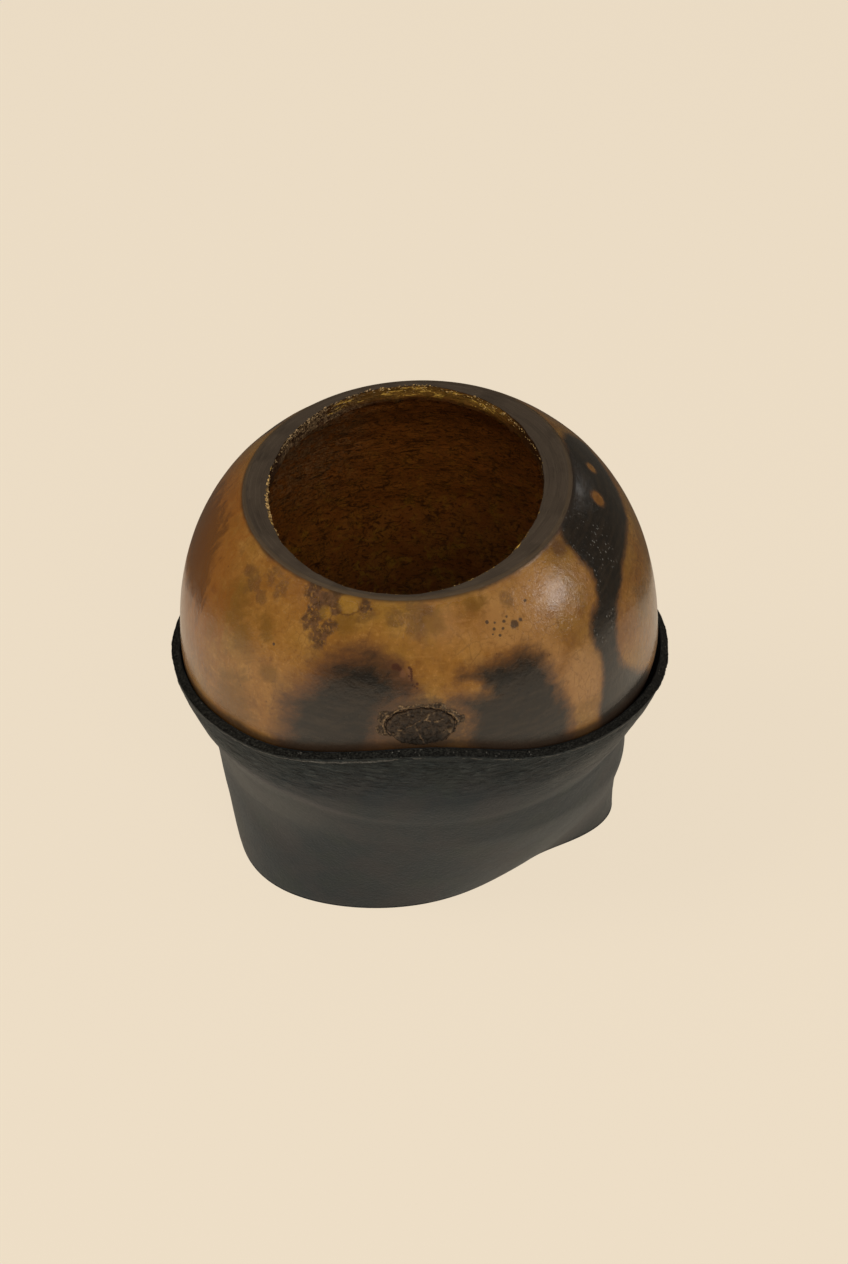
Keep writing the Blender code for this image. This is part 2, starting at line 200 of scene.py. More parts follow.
def gap_to_line(across, along, start, end):
    """How far flat points are from a straight line."""
    (ax, ay), (bx, by) = start, end
    share = ((across - ax) * (bx - ax) + (along - ay) * (by - ay)) / ((bx - ax) ** 2 + (by - ay) ** 2)
    share = np.clip(share, 0, 1)
    return np.hypot(across - ax - share * (bx - ax), along - ay - share * (by - ay))


def seed_shift(seed):
    return Vector((seed, 1.7 * seed, -0.6 * seed))


def noise_at(points, scale, seed, sideways=1.0, detail=0):
    """Smooth noise from -1 to 1 at each point, with features of about the scale."""
    shift = seed_shift(seed)
    places = [Vector(point) + shift for point in points * (sideways, sideways, 1.0) / scale]
    if detail:
        return np.array([noise.fractal(place, 0.9, 2.1, detail) for place in places])
    return np.array([noise.noise(place) for place in places])


def cells_at(points, scale, seed):
    """Distances to the nearest and second nearest of scattered points, in parts of the scale."""
    shift = seed_shift(seed)
    return np.array([noise.voronoi(Vector(point) + shift)[0][:2] for point in points / scale])


# Shader maths


class Wire:
    """A value that changes over a surface. Arithmetic on it adds Math nodes."""

    def __init__(self, paint, socket):
        self.paint = paint
        self.socket = socket

    def maths(self, operation, *values):
        return self.paint.node("ShaderNodeMath", {"operation": operation}, values)

    def __add__(self, other):
        return self.maths("ADD", self, other)

    def __radd__(self, other):
        return self.maths("ADD", other, self)

    def __sub__(self, other):
        return self.maths("SUBTRACT", self, other)

    def __rsub__(self, other):
        return self.maths("SUBTRACT", other, self)

    def __mul__(self, other):
        return self.maths("MULTIPLY", self, other)

    def __rmul__(self, other):
        return self.maths("MULTIPLY", other, self)

    def __truediv__(self, other):
        return self.maths("DIVIDE", self, other)

    def __abs__(self):
        return self.maths("ABSOLUTE", self)

    def least(self, other):
        return self.maths("MINIMUM", self, other)

    def stirred(self, *noises):
        """The value with noises added about their middle, each followed by its strength."""
        value = self
        for wire, strength in zip(noises[::2], noises[1::2]):
            value = value + (wire - 0.5) * strength
        return value


class Paint:
    """A material's nodes, from object coordinates to its Principled BSDF."""

    def __init__(self, name, matrix):
        self.material = bpy.data.materials.new(name)
        self.material.use_nodes = True
        self.tree = self.material.node_tree
        self.shader = self.tree.nodes["Principled BSDF"]
        inputs = {
            "Vector": self.node("ShaderNodeTexCoord", output="Object"),
            "Location": tuple(matrix.translation),
            "Rotation": tuple(matrix.to_euler()),
            "Scale": (MM, MM, MM),
        }
        # Object coordinates in millimetres from the place and turn that the matrix gives
        self.place = self.node("ShaderNodeMapping", {"vector_type": "TEXTURE"}, inputs)

    def node(self, kind, settings=None, inputs=(), output=0):
        """Adds a node with its settings, then its inputs by place or name, and gives an output."""
        node = self.tree.nodes.new(kind)
        for name, value in (settings or {}).items():
            setattr(node, name, value)
        self.connect(node, inputs)
        return Wire(self, node.outputs[output])

    def connect(self, node, inputs):
        named = inputs.items() if isinstance(inputs, dict) else enumerate(inputs)
        for name, value in named:
            if isinstance(value, Wire):
                self.tree.links.new(value.socket, node.inputs[name])
            else:
                node.inputs[name].default_value = value

    def attribute(self, name, *noises):
        return self.node("ShaderNodeAttribute", {"attribute_name": name}, output="Fac").stirred(*noises)

    def vector(self, operation, *inputs, output=0):
        return self.node("ShaderNodeVectorMath", {"operation": operation}, inputs, output)

    def spot(self, across=1.0, up=1.0, moved=None):
        """The coordinates, stretched sideways and upwards and then moved."""
        place = self.place
        if (across, up) != (1.0, 1.0):
            place = self.vector("MULTIPLY", place, (across, across, up))
        return self.vector("ADD", place, moved) if moved else place

    def noise(self, size, detail=2.0, roughness=0.5, distortion=0.0, at=None, **spot):
        """Soft noise with features of about a size in millimetres, mostly from 0.3 to 0.7."""
        inputs = {
            "Vector": at or self.spot(**spot),
            "Scale": 1 / size,
            "Detail": detail,
            "Roughness": roughness,
            "Distortion": distortion,
        }
        return self.node("ShaderNodeTexNoise", None, inputs, "Fac")

    def cells(self, size, feature="F1", **spot):
        inputs = {"Vector": self.spot(**spot), "Scale": 1 / size}
        return self.node("ShaderNodeTexVoronoi", {"feature": feature}, inputs, "Distance")

    def marks(self, gourd, marks, *noises):
        """Distance to the nearest of some round marks on the skin in parts of its radius."""
        nearest = None
        for point, mark in zip(on_skin(gourd, mark_directions(marks)) / MM, marks):
            gap = self.vector("DISTANCE", self.place, tuple(point), output="Value") / mark[2]
            nearest = gap if nearest is None else nearest.least(gap)
        return nearest.stirred(*noises)

    def smooth(self, low, high, value):
        inputs = {"Value": value, "From Min": low, "From Max": high}
        return self.node("ShaderNodeMapRange", {"interpolation_type": "SMOOTHSTEP"}, inputs)

    def mix(self, share, *colours):
        first, second = [value if isinstance(value, Wire) else (*value, 1.0) for value in colours]
        return self.node("ShaderNodeMix", {"data_type": "RGBA"}, {0: share, 6: first, 7: second}, 2)

    def layers(self, under, *rows):
        """Lays colours over one another: where a value goes from low to high, by a share."""
        for low, high, value, share, *colour in rows:
            under = self.mix(self.smooth(low, high, value) * share, under, srgb(*colour))
        return under

    def reliefs(self, *rows):
        """Adds heights of 0 to 1 to the surface, each standing for a distance in millimetres."""
        normal = {}
        for height, distance in rows:
            inputs = {"Distance": distance * MM, "Height": height, **normal}
            normal["Normal"] = self.node("ShaderNodeBump", None, inputs)
        return normal["Normal"]

    def finish(self, **sockets):
        named = {name.replace("_", " ").title().replace("Ior", "IOR"): value for name, value in sockets.items()}
        self.connect(self.shader, named)
        return self.material


# The gourd's form


def oval(radius, upper, lower, full_up, full_down, angle):
    """Points of the gourd's outline at angles from straight up: distance across and height."""
    rising = np.cos(angle) >= 0
    tall = np.where(rising, upper, lower)
    full = np.where(rising, full_up, full_down)
    across = np.abs(np.sin(angle)) / radius
    along = np.abs(np.cos(angle)) / tall
    reach = (across**full + along**full) ** (-1 / full)
    return reach * np.sin(angle), reach * np.cos(angle)


def angle_at_height(shape, height):
    low, high = 0.0, math.pi / 2
    for _ in range(FINE_HALVINGS):
        middle = (low + high) / 2
        above = oval(*shape, middle)[1] > height
        low, high = (middle, high) if above else (low, middle)
    return low


def skin_shape(gourd, inset=0.0):
    sizes = [size - inset for size in (gourd.radius, gourd.upper_height, gourd.lower_height)]
    return (*sizes, gourd.upper_fullness, gourd.lower_fullness)


def gourd_waviness(gourd, azimuth, height):
    lobes = np.sin(3 * azimuth + 0.7) + 0.6 * np.sin(2 * (azimuth + 15 * height) - 1.1)
    return gourd.waviness * lobes * bell(height, gourd.radius)


def gourd_place(gourd):
    """Takes the gourd's own frame, with +Z out of its mouth, to the part's frame."""
    lean = Euler((gourd.lean_forward, 0, 0)).to_matrix() @ Euler((0, -gourd.lean_left, 0)).to_matrix()
    return Matrix.Translation(gourd.centre) @ lean.to_4x4()


def transformed(points, matrix):
    table = np.array(matrix)
    return points @ table[:3, :3].T + table[:3, 3]


def from_middle(gourd, local):
    """Points of the gourd's own frame from its middle, but upright as the part is."""
    return transformed(local, gourd_place(gourd)) - np.array(gourd.centre)


# Pieces made one by one


MERGE_GAP = 0.0001


def start_piece():
    if bpy.context.object and bpy.context.object.mode != "OBJECT":
        bpy.ops.object.mode_set(mode="OBJECT")
    bpy.ops.object.select_all(action="DESELECT")


def named_piece(name):
    piece = bpy.context.object
    piece.name = piece.data.name = name
    return piece


def vertex_values(piece, name):
    flat = np.empty(len(piece.data.vertices) * 3, np.float32)
    piece.data.vertices.foreach_get(name, flat)
    return flat.reshape(-1, 3).astype(float)


def set_coordinates(piece, points):
    piece.data.vertices.foreach_set("co", np.asarray(points, np.float32).ravel())
    piece.data.update()


def set_attributes(piece, **layers):
    for name, values in layers.items():
        layer = piece.data.attributes.new(name, "FLOAT", "POINT")
        layer.data.foreach_set("value", np.asarray(values, np.float32))


def spun_rings(name, rings, segments, closed):
    """Numbered rings one unit apart down the axis, turned from a chain of points.

    A closed chain makes a hollow band; an open one ends in a pole at the top and the bottom.
    """
    start_piece()
    bpy.ops.mesh.primitive_circle_add(vertices=rings, radius=1.0)
    piece = named_piece(name)
    for index, vertex in enumerate(piece.data.vertices):
        at_pole = not closed and index in (0, rings - 1)
        vertex.co = (0.0 if at_pole else 1.0, 0.0, -index)
    if not closed:
        for vertex in piece.data.vertices:
            vertex.select = False
        for edge in piece.data.edges:
            edge.select = set(edge.vertices) == {0, rings - 1}
        bpy.ops.object.mode_set(mode="EDIT")
        bpy.ops.mesh.select_mode(type="EDGE")
        bpy.ops.mesh.delete(type="EDGE")
        bpy.ops.mesh.select_mode(type="VERT")
        bpy.ops.object.mode_set(mode="OBJECT")
    screw = piece.modifiers.new("Turned", "SCREW")
    screw.axis = "Z"
    screw.steps = screw.render_steps = segments
    screw.use_merge_vertices = True
    screw.merge_threshold = MERGE_GAP
    bpy.ops.object.modifier_apply(modifier=screw.name)
    points = vertex_values(piece, "co")
    return piece, np.rint(-points[:, 2]).astype(int), azimuth_of(points)


def face_outwards(piece):
    bpy.ops.object.mode_set(mode="EDIT")
    bpy.ops.mesh.select_all(action="SELECT")
    bpy.ops.mesh.normals_make_consistent(inside=False)
    bpy.ops.object.mode_set(mode="OBJECT")


def finish_piece(piece, nodes, sharp=50):
    start_piece()
    piece.select_set(True)
    bpy.context.view_layer.objects.active = piece
    bpy.ops.object.shade_smooth_by_angle(angle=math.radians(sharp))
    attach(piece, "root")
    if nodes:
        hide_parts(*nodes)


# The gourd


GOURD_SEGMENTS = 440
OUTER_RINGS = 84
HIDDEN_RINGS = 14
BEVEL_RINGS = 4
RIM_RINGS = 12
WALL_RINGS = 14
INNER_RINGS = 88
HIDDEN_FROM = math.radians(118)
HOLE_SHIFT = np.array([-1.1 * MM, -0.9 * MM, 0.0])


def hole_radius(gourd):
    return (gourd.hole_half_width + gourd.hole_half_depth) / 2


def gourd_rings(gourd):
    """The gourd's section from its bottom, up the skin, over the rim and down the inside.

    Four rows: distance across, height, how far the ring follows the hole's oval, and where it
    is, which is -1 on the skin, 0 to 1 on the rim, 1 to 2 on the wall and up to 10 inside.
    """
    outside, inside = skin_shape(gourd), skin_shape(gourd, gourd.shell)
    top, bevel_size = gourd.mouth_height, gourd.rim_bevel
    rim_angle = angle_at_height(outside, top - bevel_size)
    hidden = np.linspace(math.pi, HIDDEN_FROM, HIDDEN_RINGS, endpoint=False)
    skin = oval(*outside, np.concatenate([hidden, np.linspace(HIDDEN_FROM, rim_angle, OUTER_RINGS)]))
    belly = oval(*inside, np.linspace(angle_at_height(inside, top - gourd.hole_wall), math.pi, INNER_RINGS))
    bevel = np.linspace(0, math.pi / 2, BEVEL_RINGS + 1)[1:]
    bevel_across = skin[0][-1] - 1.2 * bevel_size * (1 - np.cos(bevel))
    rim = np.linspace(0, 1, RIM_RINGS + 1)[1:]
    wall = np.linspace(0, 1, WALL_RINGS + 1)[1:-1]
    hole = hole_radius(gourd)
    parts = (
        (*skin, 0.0, -1.0),
        (bevel_across, top - bevel_size * (1 - np.sin(bevel)), 0.0, 0.0),
        (mix(bevel_across[-1], hole, rim), top, rim, rim),
        (mix(hole, belly[0][0], smooth_step(0.35, 1.0, wall)), top - gourd.hole_wall * wall, 1.0, 1 + wall),
        (*belly, 1.0, np.linspace(2, 10, INNER_RINGS)),
    )
    section = np.concatenate([np.stack(np.broadcast_arrays(*part)) for part in parts], axis=1)
    section[0, [0, -1]] = 0.0
    return section


def hole_oval(gourd, azimuth):
    """Radius of the hole, which is a slightly ragged oval."""
    smooth = 1 / np.hypot(np.sin(azimuth) / gourd.hole_half_width, np.cos(azimuth) / gourd.hole_half_depth)
    ragged = waves(azimuth, (11, 0.5, 0.0), (17, 0.35, 1.0), (29, 0.25, 0.0))
    return smooth + 0.12 * MM * ragged + 1.1 * MM * near(azimuth, 180, 50)


def tuck(azimuth, height):
    """How far the hidden sides of the gourd are drawn in below the leather's flare."""
    sides = near(azimuth, -75, 38) + 0.75 * near(azimuth, 75, 34)
    return 1.25 * MM * sides * bell(height + 14 * MM, 6.5 * MM)


def rim_lift(azimuth):
    """How much higher the rim stands at the right than elsewhere."""
    return 1.1 * MM * near(azimuth, 92, 48)


def gourd_points(gourd, azimuth, across, low, hole, where):
    """Every point of the gourd in its own frame, before the fine relief."""
    top = gourd.mouth_height
    lift = rim_lift(azimuth) - 0.35 * MM * near(azimuth, 180, 55)
    along = low + lift * smooth_step(28 * MM, top, low)
    full, height = gourd.upper_fullness, gourd.upper_height
    narrower = (1 - (np.abs(along) / height) ** full) / (1 - (np.abs(low) / height) ** full)
    narrower = narrower.clip(0.1, 1) ** (1 / full)
    across = across * np.where(low > 0, mix(narrower, 1.0, hole), 1.0)
    across = across + np.clip(across / (0.4 * gourd.radius), 0, 1) * gourd_waviness(gourd, azimuth, along)
    on_hole = hole * smooth_step(top - gourd.hole_blend, top - gourd.hole_wall, low)
    radius = across * mix(1.0, hole_oval(gourd, azimuth) / hole_radius(gourd), on_hole)
    points = on_circle(azimuth, radius, along) + on_hole[:, None] * HOLE_SHIFT
    upright = from_middle(gourd, points)
    return points - on_circle(azimuth, tuck(azimuth_of(upright), upright[:, 2]) * (where < 0))


# Patches on the skin as outlines in degrees: azimuth, then height round the gourd's middle
LEFT_BURN = (
    (-32.5, 22), (-29, 25.5), (-25.5, 30), (-22.5, 34), (-18, 36), (-12, 36.5), (-7, 35), (-3, 32), (-1, 29),
    (-4.5, 26.5), (-7.5, 24), (-10, 19.5), (-10, 13), (-8, 6), (-5, 0), (-35, 0), (-34.5, 7), (-33, 15.5),
)
RIGHT_BURN = (
    (31, 33), (34, 30), (35.5, 27), (36, 22.5), (37, 18), (38.5, 12), (38, 6), (37, -2), (11, -2), (12, 12),
    (12, 17.5), (14, 21.5), (11.5, 24.5), (9, 26.5), (16, 26), (20, 26), (17, 29.5), (11, 31.5), (17.5, 31.7),
    (22, 32.3), (27, 32.8),
)
BAND = (
    (118, 49), (94, 53), (79, 53), (66.5, 52), (61, 48), (60.5, 43), (62, 39), (60.5, 36), (57.5, 32.5),
    (52.5, 30.5), (50.5, 27), (52, 22), (51.5, 18), (50, 13.5), (48.5, 9), (48, 4.5), (48, -4), (72, -4),
    (71, 3), (68.5, 4), (61, 11), (57.5, 15.5), (58.5, 20.5), (61, 25), (63.5, 28), (68.5, 29.5), (75, 32.5),
    (84.5, 33.5), (94, 33), (103, 36), (111, 38), (120, 40),
)
BACK_BURN = ((150, 30), (165, 38), (178, 36), (190, 24), (196, 10), (188, -4), (160, -6), (148, 8))
BACK_STREAK = ((222, 44), (232, 47), (238, 38), (233, 22), (240, 4), (228, -4), (220, 8), (224, 26))
BURNS = (
    (LEFT_BURN, 2.1 * MM),
    (RIGHT_BURN, 1.3 * MM),
    (BAND, 0.6 * MM),
    (BACK_BURN, 1.4 * MM),
    (BACK_STREAK, 1.1 * MM),
)
LEFT_BROWN = (
    (-112, 44), (-86, 50), (-74.5, 47), (-69.5, 40), (-64.5, 35), (-62, 27), (-66, 20), (-76, 17), (-100, 20),
    (-118, 30),
)
# Round marks: azimuth and height in degrees, radius in millimetres
BURN_GAPS = ((102, 44.3, 1.6), (87.8, 43.8, 1.9))
OLIVES = (
    (-58, 34, 7.0), (-50, 30, 5.0), (-64, 26, 5.0), (-44, 36, 3.5), (-40, 26, 3.0), (-20, 43, 3.5), (6, 44, 3.0),
    (20, 46, 2.5), (-50, 13, 8.0), (76, 20, 5.0), (150, 50, 6.0), (-150, 8, 7.0), (210, 40, 5.0),
)
PALES = ((30, 41, 8.0), (45, 20, 6.0), (34, 30, 6.0), (40, 44, 6.0))
SPECKLED = ((66, 42, 9.0), (56, 29, 5.0))
BURN_FADES = ((-12, 12, 2.2), (12.5, 12, 2.2), (15, 29, 1.6))
SMUDGES = (
    (57, 48, 2.6), (62, 51, 2.2), (53, 50.5, 1.5), (68, 47, 1.8), (-2.5, 31, 3.0), (-5, 34, 2.4),
    (-55, 49.5, 1.4), (-48, 50, 1.2), (-41, 50, 1.6), (-10, 50, 1.2), (30, 50.5, 1.3), (37, 50.2, 1.2),
)
STAINS = (
    (-33, 48, 1.5), (-29, 46.7, 2.0), (-31.6, 41, 1.4), (-27.5, 39, 1.5), (-30, 43.8, 1.6), (-24.5, 45.3, 1.0),
    (-24.8, 41.2, 1.1), (-14.7, 47.7, 0.9), (205, 30, 2.4), (212, 26, 1.8), (140, 20, 1.6), (-125, 18, 2.0),
)
FAINT_STAINS = (
    (-55, 42, 1.6), (-50, 40.5, 1.2), (-49.5, 45.7, 1.4), (-59, 43, 1.0), (-44.5, 44.5, 1.3), (-14.2, 45.8, 1.2),
    (-0.4, 46.7, 1.4), (1.5, 44, 1.7), (-4, 45, 1.3), (4, 47, 1.2), (31, 45, 1.0),
)
PINK_STAINS = ((-2.6, 33.3, 0.9), (-1.3, 33.9, 0.7), (-1.0, 32.9, 0.6))
RED_SPOTS = (
    (-4.6, 34.7, 0.75), (-3.7, 34.3, 0.5), (-1.0, 34.6, 0.3), (-0.6, 34.2, 0.28), (-0.5, 33.7, 0.26),
    (-0.5, 33.2, 0.25), (-0.5, 32.7, 0.25), (-0.5, 32.2, 0.22), (-0.5, 31.7, 0.2), (-1.2, 32.7, 0.24),
    (0.9, 30.9, 0.3), (0.2, 30.3, 0.2), (-0.4, 30.6, 0.16), (0.8, 29.9, 0.2),
)
DOTS = (
    (22.4, 41.8, 0.4), (27.4, 40.8, 0.4), (30.1, 39.3, 0.95), (32.3, 39.8, 0.5), (23.8, 39.9, 0.35), (25, 38.2, 0.3),
    (26.4, 39.4, 0.35), (23.1, 38.9, 0.25), (-33, 44, 0.3), (36, 43, 0.35), (-40, 33, 0.3), (28.6, 41.6, 0.3),
    (24.6, 41.2, 0.3), (-4.3, 34.9, 0.55), (128, 12, 0.5), (-140, 34, 0.5), (175, 44, 0.4),
)
RINGS = ((-20.4, 47.2, 2.5), (-27, 44, 1.6))


def latitude_of(points):
    return np.arctan2(points[:, 2], np.hypot(points[:, 0], points[:, 1]))


def depth_in_outline(points, outline, radius):
    """How deep points lie inside an outline on the skin; outside it is less than nothing."""
    corners = np.radians(np.array(outline, float))
    following = np.roll(corners, -1, axis=0)
    corners = np.stack([mix(corners, following, share) for share in (0.22, 0.78)], axis=1).reshape(-1, 2)
    middle = corners.mean(axis=0)
    squeeze = math.cos(middle[1])
    across = angle_between(azimuth_of(points), middle[0]) * squeeze
    along = latitude_of(points) - middle[1]
    gaps = []
    inside = np.zeros(len(points), bool)
    shape = (corners - middle) * (squeeze, 1.0)
    for start, end in zip(shape, np.roll(shape, -1, axis=0)):
        gaps.append(gap_to_line(across, along, start, end))
        (ax, ay), (bx, by) = start, end
        reach = ax + (along - ay) * (bx - ax) / (by - ay or 1e-9)
        inside ^= ((ay > along) != (by > along)) & (across < reach)
    nearest = np.min(gaps, axis=0)
    return np.where(inside, nearest, -nearest) * radius


def mark_directions(marks):
    places = np.radians(np.array([mark[:2] for mark in marks], float))
    return on_circle(places[:, 0], np.cos(places[:, 1]), np.sin(places[:, 1]))


def mark_radii(marks):
    return np.array([mark[2] for mark in marks]) * MM


def distance_to_marks(points, marks):
    """How far each point is from each mark's middle along the skin, in metres."""
    reach = np.linalg.norm(points, axis=1)[:, None]
    directions = points / np.maximum(reach, 1e-6)
    return np.arccos(np.clip(directions @ mark_directions(marks).T, -1, 1)) * reach


def marks_strength(points, marks):
    return bell(distance_to_marks(points, marks), mark_radii(marks)).max(axis=1)


def skin_attributes(piece, gourd, sleeve, local):
    """Where the skin is burnt, browned and stained, with painted shade along the leather's edge and a darker band
    under the rim.
    """
    warped = local + 0.5 * MM * np.stack([noise_at(local, 4 * MM, seed) for seed in (1, 2, 3)], axis=-1)

    def depth(outline, softness):
        return depth_in_outline(warped, outline, gourd.radius) / softness

    char = np.clip(np.max([depth(*burn) for burn in BURNS], axis=0), -8, 3.5)
    char = char - 9.0 * marks_strength(local, BURN_GAPS) - 1.5 * marks_strength(warped, BURN_FADES)
    upright = from_middle(gourd, local)
    over_leather = upright[:, 2] - edge_height(sleeve, azimuth_of(upright))
    under_rim = gourd.mouth_height + rim_lift(azimuth_of(local)) - local[:, 2]
    # Painted shade on the skin just above the leather's edge
    grime = 1 - smooth_step(0.0, 3.8 * MM, over_leather)
    across = np.degrees(azimuth_of(local) - SCAR_AZIMUTH) * math.cos(SCAR_HEIGHT)
    along = np.degrees(latitude_of(local) - SCAR_HEIGHT)
    around_scar = MM_A_DEGREE * np.hypot(across / SCAR_SURROUND[0], along / SCAR_SURROUND[1])
    set_attributes(
        piece,
        char=np.clip(char, -8, 8),
        halo=np.clip(depth(LEFT_BURN, MM), -12, 12),
        browned=np.clip(depth(LEFT_BROWN, MM), -12, 12),
        olived=marks_strength(local, OLIVES),
        pale=marks_strength(local, PALES),
        speckled=marks_strength(local, SPECKLED),
        smudged=marks_strength(warped, SMUDGES),
        grime=np.maximum(grime, 0.9 * (1 - smooth_step(0.2 * MM, 1.5 * MM, under_rim))),
        crusted=1 - smooth_step(0.75, 1.5, around_scar),
    )


def shell_relief(where, local):
    """Height of the fine relief along the surface: skin, rim, wall and inside."""
    skin, cut, flesh = where < 0, (where >= 0) & (where <= 1), where > 1
    outer, inner = local[skin], local[flesh]
    rings = distance_to_marks(outer, RINGS) - mark_radii(RINGS)
    deep = smooth_step(1.0, 2.2, where[flesh])
    lumps = noise_at(inner, 4 * MM, 13, detail=4) * smooth_step(1.9, 4.5, where[flesh])
    pits = np.clip(noise_at(inner, 2.2 * MM, 15) - 0.35, 0, None)
    relief = np.zeros(len(local))
    relief[skin] = (
        0.07 * noise_at(outer, 9 * MM, 7)
        + 0.02 * noise_at(outer, 3 * MM, 8)
        + 0.07 * marks_strength(outer, STAINS) * noise_at(outer, 0.9 * MM, 5)
        + 0.10 * bell(rings, 0.35 * MM).max(axis=1)
        - 0.16 * marks_strength(outer, DOTS)
    )
    relief[cut] = 0.06 * noise_at(local[cut], 2.5 * MM, 9) * np.sin(math.pi * where[cut])
    relief[flesh] = (
        1.3 * deep * pits
        - mix(0.10, 0.30, deep) * noise_at(inner, 1.0 * MM, 11, sideways=0.16)
        - 0.18 * deep * noise_at(inner, 0.75 * MM, 12, sideways=0.10)
        - mix(0.28, 0.08, deep) * noise_at(inner, 0.8 * MM, 14)
        - 0.5 * lumps
    )
    return relief * MM


def ragged_hole(where, local):
    """The chipped edge of the hole: how far it steps back from the middle."""
    chips = noise_at(local, 1.3 * MM, 21) + 0.6 * noise_at(local, 0.6 * MM, 22)
    bites = np.clip(noise_at(local, 4.5 * MM, 23) - 0.25, 0, None)
    return bell(where - 1.0, 0.35) * MM * (0.10 * chips + 0.16 * bites)


def flesh_attributes(piece, azimuth, where, local):
    """Where the hole's edge and its wall are golden, and where they are crusty."""
    flesh = where >= 0.9
    ridged, patch = np.zeros((2, len(local)))
    ridged[flesh] = noise_at(local[flesh], 0.9 * MM, 61, sideways=0.22) * 1.3 + 0.35
    patch[flesh] = 0.6 + noise_at(local[flesh], 5 * MM, 62)
    behind = near(azimuth, 170, 37, 4.0) * smooth_step(1.0, 1.1, where) * (1 - smooth_step(1.45, 2.05, where))
    arris = bell(where - 1.02, 0.06) * (0.26 + 0.85 * near(azimuth, -84, 17, 3.0) + 0.5 * near(azimuth, 40, 24, 3.0))
    gold = np.maximum(behind * ridged.clip(0, 1) * patch.clip(0, 1), arris * (ridged + 0.2).clip(0, 1))
    crust = near(azimuth, GREY_CRUST, 24, 3.0) * smooth_step(1.0, 1.2, where) * (1 - smooth_step(2.6, 5.2, where))
    set_attributes(piece, where=where, gold=gold.clip(0, 1), olive=0.8 * behind, crust=crust)


class MESH_OT_gourd_shell(bpy.types.Operator):
    """Add the gourd's shell: varnished skin, cut rim and rough inside"""

    bl_idname = "mesh.mate_gourd_shell"
    bl_label = "Gourd Shell"

    def execute(self, context):
        gourd = context.scene.mate_gourd.gourd
        section = gourd_rings(gourd)
        piece, ring, azimuth = spun_rings("gourd_shell", section.shape[1], GOURD_SEGMENTS, closed=False)
        across, along, hole, where = section[:, ring]
        local = gourd_points(gourd, azimuth, across, along, hole, where)
        local += on_circle(azimuth, ragged_hole(where, local))
        set_coordinates(piece, local)
        face_outwards(piece)
        local += vertex_values(piece, "normal") * shell_relief(where, local)[:, None]
        set_coordinates(piece, transformed(local, gourd_place(gourd)))
        skin_attributes(piece, gourd, context.scene.mate_gourd.sleeve, local)
        flesh_attributes(piece, azimuth, where, local)
        piece.data.materials.append(skin_material(gourd))
        piece.data.materials.append(flesh_material(gourd))
        for face in piece.data.polygons:
            face.material_index = int(where[list(face.vertices)].max() >= 0)
        finish_piece(piece, ["gourd"])
        return {"FINISHED"}


